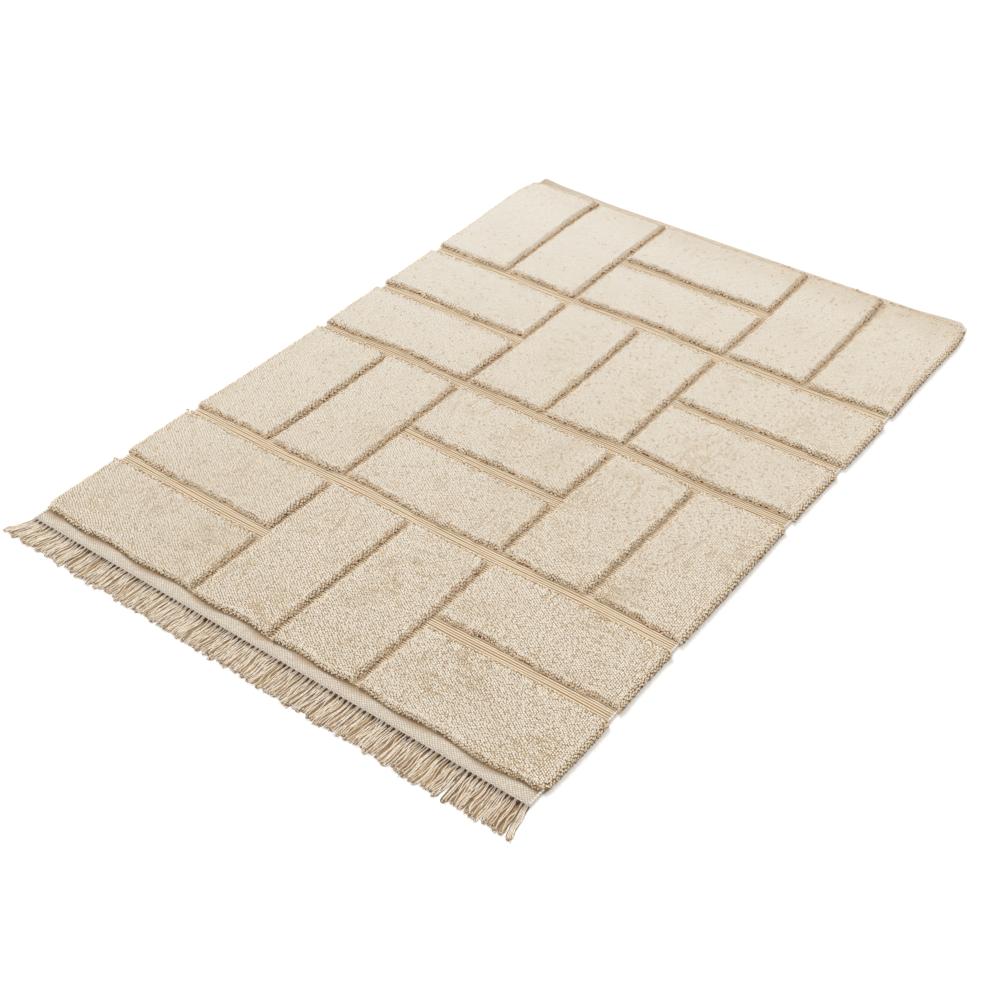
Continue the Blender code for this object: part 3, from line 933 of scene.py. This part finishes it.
def rim_places(x0, x1, y0, y1, inset, rng):
    """Places at an even pitch round a block, a little inside its foot."""
    radii = []
    for x, y in ((x0, y0), (x1, y0), (x1, y1), (x0, y1)):
        at_rug_corner = x in (0.0, RUG_WIDTH) and y in (0.0, PILE_LENGTH)
        radii.append((RUG_CORNER if at_rug_corner else BLOCK_CORNER) - inset)
    outline = rounded_outline(x0 + inset, x1 - inset, y0 + inset, y1 - inset, radii)
    lengths = np.concatenate([[0.0], np.cumsum(np.linalg.norm(np.diff(outline, axis=0), axis=1))])
    count = int(lengths[-1] / SKIRT_PITCH)
    along = (np.arange(count) + rng.uniform(-SKIRT_STRAY, SKIRT_STRAY, count)) * lengths[-1] / count
    return np.interp(along, lengths, outline[:, 0]), np.interp(along, lengths, outline[:, 1])


# %% Growing the tufts of one block
TUFT_LENGTH = (0.0124, 0.0090)          # metres, in dense and in worn pile; so are the pairs that follow
TUFT_GIRTH = (0.0056, 0.0040)
TUFT_ROOT_DEPTH = (0.0082, 0.0070)
LENGTH_SHARES, GIRTH_SHARES = (0.85, 1.15), (0.88, 1.12)   # of its even size that a tuft really has
UPRIGHT, LYING = (0.50, 0.70), (0.90, 0.70)
WOBBLE, AXIS_WOBBLE = (0.03, 0.07), 0.5   # of the lean, and the share of it that the axis has
RIM_DROOP, RIM_LEAN_DROOP = 0.45, 2.0   # how far a side's tufts turn down, and how much more their lean does
RIM_STANDS = 0.7                        # share of its lying that a tuft at a block's foot loses
RIM_LONGER = 0.22                       # share that such a tuft is longer, where the shears missed it
TONE_LOW = (0.98, 0.88)
PARTED_TONE = 0.35
PARTED_DROP = 0.0004
PARTED_THIN = 0.15
FLECK_SHARE, FLECK_TONE = (0.00, 0.08), 0.45   # how many tufts are plainly tanner, and their tone
SKIRT_TONES = (-1.1, 0.9)                # cut off at 0 and 1, so that many take the foot's full brown painted shade
SKIRT_GIRTH = 0.80
# Painted shade on the tufts where the pile rolls down at its far edge, and how far in it reaches.
FAR_EDGE_PAINTED_SHADE, FAR_EDGE_REACH = 0.30, 0.170
TUFT_SEED = 11


def grown_tufts(x, y, open_here, rim, rng, skirt=False):
    """Spindles at even places: roots under the surface, axes outwards and lying with the pile."""
    count = len(x)
    wear_and_shade = wear_and_painted_shade(x, y)
    out = outward(x, y)
    surface = on_surface(x, y)
    if skirt:
        surface[:, 2] = rng.uniform(*SKIRT_HEIGHT, count)
    depth = by_wear(TUFT_ROOT_DEPTH, wear_and_shade) + PARTED_DROP * open_here
    roots = surface - depth[:, None] * out
    wobble = by_wear(WOBBLE, wear_and_shade)[:, None] * rng.normal(0.0, 1.0, (count, 3))
    down = np.array([0.0, 0.0, -1.0]) * (rim * RIM_DROOP * (1.0 - out[:, 2]))[:, None]
    flat = 1.0 - RIM_STANDS * rim
    lean = unit(LIE + wobble + RIM_LEAN_DROOP * down)
    lying = (by_wear(LYING, wear_and_shade) * flat)[:, None] * lean
    axes = unit(by_wear(UPRIGHT, wear_and_shade)[:, None] * out + lying + AXIS_WOBBLE * wobble + down)
    lean = square_to(axes, lean)
    lengths = by_wear(TUFT_LENGTH, wear_and_shade) * rng.uniform(*LENGTH_SHARES, count) * (1.0 + RIM_LONGER * rim)
    girths = by_wear(TUFT_GIRTH, wear_and_shade) * rng.uniform(*GIRTH_SHARES, count) * (1.0 - PARTED_THIN * open_here)
    tones = rng.uniform(by_wear(TONE_LOW, wear_and_shade), 1.0) - PARTED_TONE * open_here
    tones = np.where(rng.uniform(0, 1, count) < by_wear(FLECK_SHARE, wear_and_shade), FLECK_TONE, tones)
    # Painted shade near the far edge, carried in the tone.
    tones = tones - FAR_EDGE_PAINTED_SHADE * eased(1.0 - (PILE_LENGTH - y) / FAR_EDGE_REACH)
    if skirt:
        tones = np.clip(rng.uniform(*SKIRT_TONES, count), 0.0, 1.0)
        girths = girths * SKIRT_GIRTH
    points, faces, shares = spindles(roots, axes, lean, lengths, girths)
    corners = len(points) // count
    of_points = {"tone": tones, "wear_and_painted_shade": wear_and_shade, "outer": outer(x, y), "rim": rim}
    values = {key: np.repeat(numbers, corners) for key, numbers in of_points.items()}
    values["depth"] = shares
    return points, faces, values


def block_tufts(block, rng):
    """All tufts of one block: rows and columns over its top and rolled sides, and a skirt at its foot."""
    feet = block[2:]
    x, y, open_here = inner_places(*feet, rng)
    inside = clearance(x, y) > LEAST_INSIDE
    x, y, open_here = x[inside], y[inside], open_here[inside]
    rim = 1.0 - np.minimum(1.0, clearance(x, y) / EDGE_ROLL)
    skirt_x, skirt_y = rim_places(*feet, SKIRT_INSET, rng)
    whole = np.ones_like(skirt_x)
    return [grown_tufts(x, y, open_here, rim, rng),
            grown_tufts(skirt_x, skirt_y, 0.0 * whole, whole, rng, skirt=True)]


tuft_draws = np.random.default_rng(TUFT_SEED)
for column in range(CELLS_ACROSS):
    for row in range(CELLS_ALONG):
        blocks = [block for block in BLOCKS if block[:2] == (column, row)]
        grown = [part for block in blocks for part in block_tufts(block, tuft_draws)]
        points, faces = joined([(part[0], part[1]) for part in grown])
        values = {key: np.concatenate([part[2][key] for part in grown]) for key in grown[0][2]}
        name = f"pile_tufts_{column + 1}_{row + 1}"
        make_piece(name, points, faces, PILE, values)

# %% [markdown]
# ## Selvages
# Along both long sides the outermost warps are wrapped by the weft into a firm round cord. It shows in
# every notch that a channel makes in the side, and along the bands. It is a circle carried along the
# side, whose radius swells and shrinks with each wrap.

# %% Selvages
SELVAGE_RADIUS = 0.0034
SELVAGE_WRAP = 0.0090
SELVAGE_DEPTH = 0.0004       # metres that each wrap swells and shrinks the radius
SELVAGE_TAPER = 3            # times that its ends are thinner
SELVAGE_SIDES = 8
SELVAGE_STEPS = 620


def selvage(x_even):
    """A wrapped cord along one side, from the near band's end to the far band's end."""
    far_end = PILE_LENGTH + between_rows(FAR_BAND, np.array([x_even / RUG_WIDTH]))[0, 0]
    y = np.linspace(-NEAR_BAND, far_end, SELVAGE_STEPS)
    across, along = uneven(np.full_like(y, x_even), y)
    under_pile = clearance(np.full_like(y, abs(x_even - EDGE_ROLL)), y) / SHOULDER
    splay = SIDE_SPLAY * np.minimum(1.0, under_pile) * (-1.0 if x_even == 0.0 else 1.0)
    inwards = SELVAGE_RADIUS * (1.0 if x_even == 0.0 else -1.0)
    height = np.full_like(y, SELVAGE_RADIUS + SELVAGE_DEPTH)
    middle = np.stack([across - splay + inwards, along, height], axis=-1)
    wraps = np.cos(2 * math.pi * y / SELVAGE_WRAP)
    radius = SELVAGE_RADIUS + SELVAGE_DEPTH * wraps
    radius[[0, -1]] = SELVAGE_RADIUS / SELVAGE_TAPER
    turn = 2 * math.pi * np.arange(SELVAGE_SIDES) / SELVAGE_SIDES
    points = np.repeat(middle[:, None], SELVAGE_SIDES, axis=1)
    points[..., 0] += radius[:, None] * np.cos(turn)
    points[..., 2] += radius[:, None] * np.sin(turn)
    shades = np.repeat(0.5 + 0.5 * wraps[:, None], SELVAGE_SIDES, axis=1)
    return points[None], shades


for name, x_even in (("selvage_left", 0.0), ("selvage_right", RUG_WIDTH)):
    cord_points, shades = selvage(x_even)
    points, faces = tubes(cord_points)
    make_piece(name, points, faces, PLAIN, {"depth": shades})

# %% [markdown]
# ## The fringe
# The warp leaves the near band in bundles, a bundle to each strand of the construction. In each one a flat
# lock of loose brown wool lies on the floor, and up to four cream yarns run over it; the lock's brown is
# partly painted shadow between the yarns. The roots show dark wool between the bundles, drawn darker with
# painted shadow, and every end is frayed into small curls.

# %% The strands' places, as in the construction
STRAND_COUNT = 110
STRIP_DEPTH, STRIP_GAP = 0.005, 0.0003
LENGTH_LEFT, LENGTH_RIGHT, LENGTH_SPREAD = 0.083, 0.101, 0.006
STRAND_LEAN = -0.004
CLUMP_SIZES = (3, 4, 2, 5, 3)
CLUMP_GATHER = 0.16
SPLAY_LEFT, SPLAY_RIGHT, SPLAY_FADE = 0.038, 0.030, 0.055
PARTING_AT, PARTING_LEFT, PARTING_RIGHT, PARTING_FADE = 1.420, 0.003, 0.016, 0.070
SWAY_HEIGHT, SWAY_WAVE = 0.002, 13.0
LENGTH_SEED = 7

PITCH = RUG_WIDTH / STRAND_COUNT
MIDDLES = PITCH * (np.arange(STRAND_COUNT) + 0.5)
length_draws = random.Random(LENGTH_SEED)
SPREADS = np.array([length_draws.uniform(-LENGTH_SPREAD, LENGTH_SPREAD) for _ in MIDDLES])
LENGTHS = LENGTH_LEFT + (LENGTH_RIGHT - LENGTH_LEFT) * MIDDLES / RUG_WIDTH + SPREADS


def clump_middles():
    """For each strand the middle of the clump that its tip lies in."""
    clump = np.repeat(np.arange(STRAND_COUNT), np.resize(CLUMP_SIZES, STRAND_COUNT))[:STRAND_COUNT]
    return (np.bincount(clump, weights=MIDDLES) / np.bincount(clump))[clump]


CLUMPS = clump_middles()


def strand_places(strands, shares, reach=1.0):
    """The x and y of points down the given strands: a row to a strand, a column to a share of it."""
    x, gather_to = MIDDLES[strands][:, None], CLUMPS[strands][:, None]
    drift = STRAND_LEAN + CLUMP_GATHER * (gather_to - x)
    drift = drift - SPLAY_LEFT * np.exp(-x / SPLAY_FADE)
    drift = drift + SPLAY_RIGHT * np.exp(-(RUG_WIDTH - x) / SPLAY_FADE)
    parting = np.where(x > PARTING_AT, PARTING_RIGHT, -PARTING_LEFT)
    drift = drift + parting * np.exp(-np.abs(x - PARTING_AT) / PARTING_FADE)
    sway = SWAY_HEIGHT * np.sin(2 * math.pi * shares) * np.sin(SWAY_WAVE * x)
    root_x, root_y = uneven(x, np.full_like(x, -NEAR_BAND))
    across = root_x + shares ** 2 * (2.0 - shares) * drift + sway
    along = root_y - STRIP_GAP - STRIP_DEPTH - LENGTHS[strands][:, None] * shares * reach
    return across, along


# %% Ropes: the form of every yarn and lock
def ropes(middles, half_wide, half_high, around, plies=0.0, twist=0.0):
    """Closed ropes along rows of points: ellipses across the rope, drawn in between two turning plies."""
    along = unit(np.gradient(middles, axis=1))
    side = unit(np.cross(along, np.array([0.0, 0.0, 1.0])))
    up = np.cross(side, along)
    turn = 2 * math.pi * np.arange(around) / around
    steps = np.arange(middles.shape[1])[:, None]
    swell = 1.0 + plies * np.cos(2 * (turn - twist * steps))
    wide = (half_wide[..., None] * swell * np.cos(turn))[..., None] * side[:, :, None]
    high = (half_high[..., None] * swell * np.sin(turn))[..., None] * up[:, :, None]
    shade = np.broadcast_to((swell - 1.0 + plies) / max(2 * plies, 1e-6), half_wide.shape + (around,))
    return middles[:, :, None] + wide + high, shade


# %% [markdown]
# Warp wool is spun harder than the pile. Where the plies of a yarn touch, a thin dark line of painted shade
# is drawn, and loose wool keeps the brown of the fleece's outer ends. Near the band the locks are dark with
# painted shadow and grease, so the colour runs from dark brown at the root to tan at the tip.

# %% The fringe's wool
YARN_CREAM = linear("FAF4EA")
YARN_TAN = linear("C9B08C")
LOCK_TAN = linear("C2A886")
LOCK_BROWN = linear("7E5F3F")
# Dark brown at the roots: grease, and painted shadow near the band and between the bundles.
ROOT_BROWN = linear("4C2F18")
STREAK_WIDTH = 0.0022                  # metres, of a lock of fibres; its streak is eight times as long
STREAK_STRETCH = (1.0, 0.125, 1.0)


def warp_wool(name, light, dark, streaks):
    """Wool of the warp: painted shade in the grooves between its plies, streaked, darker by its tone, and
    darker at its root with painted shadow and grease.
    """
    material, tree = blank_material(name)
    place = add_node(tree, "ShaderNodeTexCoord").outputs["Object"]
    drawn = add_node(tree, "ShaderNodeMapping", {"Vector": place, "Scale": STREAK_STRETCH}).outputs["Vector"]
    grain = {"Vector": drawn, "Scale": 1 / STREAK_WIDTH, "Detail": 1.0}
    streak = between(tree, add_node(tree, "ShaderNodeTexNoise", grain).outputs[0], 0.42, 0.58, 0.0, streaks)
    crest = mixed(tree, between(tree, attribute(tree, "depth"), 0.10, 0.70), dark, light)
    lit = mixed(tree, streak, crest, dark)
    toned = mixed(tree, attribute(tree, "tone"), dark, lit)
    # Painted shadow and grease near the band.
    at_root = between(tree, attribute(tree, "share"), 0.02, 0.26, 1.0, 0.0)
    shaded = mixed(tree, attribute(tree, "root"), toned, ROOT_BROWN)
    return wool_shader(material, mixed(tree, at_root, toned, shaded), 0.0012, 0.0005, STREAK_STRETCH)


YARN = warp_wool("plied_cream_warp_yarn", YARN_CREAM, YARN_TAN, streaks=0.25)
LOCK = warp_wool("loose_brown_warp_wool_and_painted_shadow", LOCK_TAN, LOCK_BROWN, streaks=0.85)

# %% Heading, locks and yarns
HEADING_ROWS = 3
LOCK_HALF, LOCK_HIGH = 0.54 * PITCH, 0.0013
LOCK_STEPS = 12
YARNS_A_STRAND = 4
YARN_RADIUS = 0.00155
YARN_STEPS = 18
YARN_LIFT = 0.0032
YARN_OFFSETS = (-0.34, -0.12, 0.12, 0.34)       # across the strand, in shares of the pitch
YARN_SPREAD_ROOT, YARN_SPREAD_TIP = 0.80, 1.35
YARN_FAN = 0.30                          # share of the pitch that a yarn's tip wanders from its bundle
FALL = 0.0011

fringe_draws = np.random.default_rng(5)
heading_x, heading_y = np.meshgrid(
    np.linspace(0.0, RUG_WIDTH, int(RUG_WIDTH / BEAD) + 1),
    -NEAR_BAND - STRIP_GAP - np.linspace(STRIP_DEPTH, 0.0, HEADING_ROWS))
points, faces, values = plain_weave(heading_x, heading_y)
heading = make_piece("fringe_heading", points, faces, PLAIN, values)


def warp_locks(rng):
    """The flat brown locks that lie under the yarns, one to a strand; their brown is partly painted shadow
    between the yarns.
    """
    strands = np.arange(STRAND_COUNT)
    shares = np.linspace(-0.03, 1.0, LOCK_STEPS)[None]
    across, along = strand_places(strands, shares)
    ripple = rng.uniform(0.80, 1.05, across.shape)
    wide = LOCK_HALF * ripple * np.where(shares > 0.93, 0.60, 1.0 + 0.15 * shares)
    high = LOCK_HIGH * rng.uniform(0.80, 1.0, across.shape)
    middles = np.stack([across, along, high + 0.0002], axis=-1)
    points, _ = ropes(middles, wide, high, 8)
    tones = rng.uniform(0.35, 1.0, (STRAND_COUNT, 1, 1)) * rng.uniform(0.75, 1.0, across.shape)[..., None]
    whole = points.shape[:-1]
    return points, np.broadcast_to(tones, whole), np.broadcast_to(shares[..., None], whole)


lock_points, lock_tones, lock_shares = warp_locks(fringe_draws)
points, faces = tubes(lock_points)
locks = make_piece("warp_locks", points, faces, LOCK, {
    "depth": np.ones(len(points)), "tone": lock_tones, "share": lock_shares, "root": np.ones(len(points))})


def fringe_yarns(rng):
    """Cream yarns over the locks: each wavers, some stop short, and a few cross their neighbours."""
    strands = np.repeat(np.arange(STRAND_COUNT), YARNS_A_STRAND)
    offsets = np.tile(YARN_OFFSETS, STRAND_COUNT) * PITCH
    kept = rng.uniform(0, 1, len(strands)) > 0.12
    strands, offsets = strands[kept], offsets[kept]
    count = len(strands)
    shares = np.linspace(-0.03, 1.0, YARN_STEPS)[None] * rng.uniform(0.86, 1.02, (count, 1))
    across, along = strand_places(strands, shares)
    spread = YARN_SPREAD_ROOT + (YARN_SPREAD_TIP - YARN_SPREAD_ROOT) * shares
    wave = rng.uniform(0.0008, 0.0026, (count, 1)) * np.sin(
        rng.uniform(5.0, 11.0, (count, 1)) * shares + rng.uniform(0, 6.3, (count, 1)))
    strays = np.where(rng.uniform(0, 1, (count, 1)) < 0.07, rng.uniform(-1.3, 1.3, (count, 1)) * PITCH, 0.0)
    strays = strays + rng.uniform(-YARN_FAN, YARN_FAN, (count, 1)) * PITCH
    across = across + offsets[:, None] * spread + wave * eased(shares / 0.2) + strays * eased(shares)
    over = eased(np.abs(strays) / PITCH - YARN_FAN)
    lift = YARN_LIFT - FALL * eased(shares) + 0.0012 * over * np.sin(math.pi * np.clip(shares, 0, 1))
    middles = np.stack([across, along, lift + rng.uniform(-0.0003, 0.0003, (count, 1))], axis=-1)
    radius = YARN_RADIUS * rng.uniform(0.85, 1.15, (count, 1)) * np.ones_like(shares)
    radius[:, -1] *= 0.45
    points, shade = ropes(middles, radius, radius, 6, plies=0.13, twist=1.1)
    brown = rng.uniform(0, 1, (count, 1, 1)) < 0.12
    tones = np.where(brown, rng.uniform(0.0, 0.3, (count, 1, 1)), rng.uniform(0.75, 1.0, (count, 1, 1)))
    whole = points.shape[:-1]
    return points, shade, np.broadcast_to(tones, whole), np.broadcast_to(shares[..., None], whole)


yarn_points, yarn_shade, yarn_tones, yarn_shares = fringe_yarns(fringe_draws)
points, faces = tubes(yarn_points)
# The yarns take some of the roots' painted shadow and grease near the band.
yarns = make_piece("fringe_yarns", points, faces, YARN, {
    "depth": yarn_shade, "tone": yarn_tones, "share": yarn_shares, "root": np.full(len(points), 0.45)})

# %% [markdown]
# Between two bundles the band's last wefts let the dark loose wool through, and the hollow there lies in
# shadow. Both show as a row of dark ovals in four sizes, partly dark wool and partly painted shadow. They are
# short ropes that narrow at both ends.

# %% Dark roots between the bundles, and frayed tips
HOLLOW_LENGTH, HOLLOW_WIDE, HOLLOW_HIGH = 0.0100, 0.0035, 0.0014
HOLLOW_MIDDLE = 0.0044
HOLLOW_STEPS = 7
HOLLOW_SIZES = (0.65, 0.80, 1.0, 1.2)
CURLS_A_STRAND = 14
CURL_LENGTH, CURL_GIRTH = 0.0050, 0.0015


def root_hollows(rng):
    """Dark flat ovals between the strands' roots, dark wool and painted shadow: half widths follow the square
    root of a half sine.
    """
    left, right = np.arange(STRAND_COUNT - 1), np.arange(1, STRAND_COUNT)
    left_x, left_y = strand_places(left, np.array([[0.0, 0.12]]))
    right_x, right_y = strand_places(right, np.array([[0.0, 0.12]]))
    x, y = (left_x + right_x) / 2, (left_y + right_y) / 2
    height = np.full(x.shape, HOLLOW_MIDDLE)
    ends = np.stack([x, y, height], axis=-1)
    sizes = rng.choice(HOLLOW_SIZES, (len(left), 1))
    shares = np.linspace(0.0, 1.0, HOLLOW_STEPS)
    ahead = unit(ends[:, 1] - ends[:, 0])[:, None]
    middles = ends[:, :1] + (HOLLOW_LENGTH * sizes * shares - 0.0010)[..., None] * ahead
    oval = sizes * np.sqrt(np.maximum(np.sin(math.pi * shares), 0.02))
    points, _ = ropes(middles, HOLLOW_WIDE * oval, HOLLOW_HIGH * np.minimum(oval, 1.0), 8)
    return points


points, faces = tubes(root_hollows(fringe_draws))
hollows = make_piece("root_hollows", points, faces, LOCK, {
    "depth": np.zeros(len(points)), "tone": np.zeros(len(points)), "share": np.zeros(len(points)),
    "root": np.ones(len(points))})


def tip_curls(rng):
    """Small frayed curls at the end of every strand, that point every way but up and back."""
    strands = np.repeat(np.arange(STRAND_COUNT), CURLS_A_STRAND)
    count = len(strands)
    shares = rng.uniform(0.86, 1.0, (count, 1))
    x, y = strand_places(strands, shares)
    heights = rng.uniform(0.0012, 0.0034, count)
    aside = rng.uniform(-0.48, 0.48, count) * PITCH
    roots = np.stack([x[:, 0] + aside, y[:, 0], heights], axis=-1)
    axes = unit(rng.normal(0.0, 0.55, (count, 3)) * np.array([1.0, 0.6, 0.25]) + np.array([-0.1, -0.7, 0.0]))
    leans = square_to(axes, unit(rng.normal(0.0, 1.0, (count, 3)) * np.array([1.0, 0.7, 0.2])))
    lengths = CURL_LENGTH * rng.uniform(0.6, 1.3, count)
    return spindles(roots, axes, leans, lengths, CURL_GIRTH * rng.uniform(0.7, 1.2, count))


points, faces, shares = tip_curls(fringe_draws)
curl_tones = np.repeat(fringe_draws.uniform(0.2, 1.0, STRAND_COUNT * CURLS_A_STRAND), 2 + TUFT_SIDES)
curls = make_piece("tip_curls", points, faces, YARN, {
    "depth": np.ones(len(points)), "tone": curl_tones, "share": np.ones(len(points)),
    "root": np.zeros(len(points))})

# %% [markdown]
# ## What stands for what
# The pieces of the pile and the ground stand for the rug's solid, and those of the fringe for the fringe's
# solid, so both solids are hidden.

# %% Hide the solids that the pieces stand for
FRINGE_PIECES = [heading, locks, yarns, hollows, curls]
for piece in PIECES:
    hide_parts("warp_fringe" if piece in FRINGE_PIECES else "pile_rug")

# %% [markdown]
# ## The room
# The rug lies on a plain white floor. A large soft light stands behind it to the left. A weaker one in
# front and a white room fill the shadows, so that only a short soft shadow shows to the rug's right.

# %% Floor and light
FLOOR_SIZE = 14.0
LIGHTS = (  # name, the direction that it comes from, strength, width of the light in degrees
    ("soft_key", (-0.82, 0.57, 1.05), 1.55, 18.0),
    ("front_fill", (0.55, -0.75, 0.80), 0.80, 60.0),
)
ROOM_STRENGTH = 0.67
ROOM_COLOUR = (1.0, 0.98, 0.95, 1.0)

bpy.ops.mesh.primitive_plane_add(size=FLOOR_SIZE, location=(0.0, 0.0, 0.0))
floor = bpy.context.object
floor.name = "studio_floor"
floor_paint, floor_tree = blank_material("white_studio_floor")
floor_shader = floor_tree.nodes["Principled BSDF"]
floor_shader.inputs["Base Color"].default_value = linear("F2F2F2")
floor_shader.inputs["Roughness"].default_value = 0.85
floor.data.materials.append(floor_paint)


def look_at(thing, place, target):
    """Stands a light or a camera at a place and turns it so that it looks at the target."""
    thing.location = place
    gaze = Vector(target) - Vector(place)
    thing.rotation_euler = gaze.to_track_quat("-Z", "Y").to_euler()


for name, comes_from, strength, width in LIGHTS:
    light_data = bpy.data.lights.new(name, "SUN")
    light_data.angle = math.radians(width)
    light_data.energy = strength
    light = bpy.data.objects.new(name, light_data)
    bpy.context.scene.collection.objects.link(light)
    look_at(light, comes_from, (0.0, 0.0, 0.0))

room = bpy.data.worlds.new("white_room")
room.use_nodes = True
room.node_tree.nodes["Background"].inputs["Color"].default_value = ROOM_COLOUR
room.node_tree.nodes["Background"].inputs["Strength"].default_value = ROOM_STRENGTH
bpy.context.scene.world = room
bpy.context.scene.view_settings.view_transform = "Standard"

# %% Camera
CAMERA_PLACE = (2.1521, -2.9990, 2.8304)
CAMERA_TARGET = (0.1350, -0.3067, 0.0)
CAMERA_LENS = 58.95

camera_data = bpy.data.cameras.new("camera")
camera_data.lens = CAMERA_LENS
camera_data.sensor_width = 36.0
camera = bpy.data.objects.new("camera", camera_data)
bpy.context.scene.collection.objects.link(camera)
look_at(camera, CAMERA_PLACE, CAMERA_TARGET)
bpy.context.scene.camera = camera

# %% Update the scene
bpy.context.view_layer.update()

# %% Finish
corners = sum(len(piece.data.loops) - 2 * len(piece.data.polygons) for piece in PIECES)
print("triangles in all:", corners)
print("pieces:", len(PIECES))
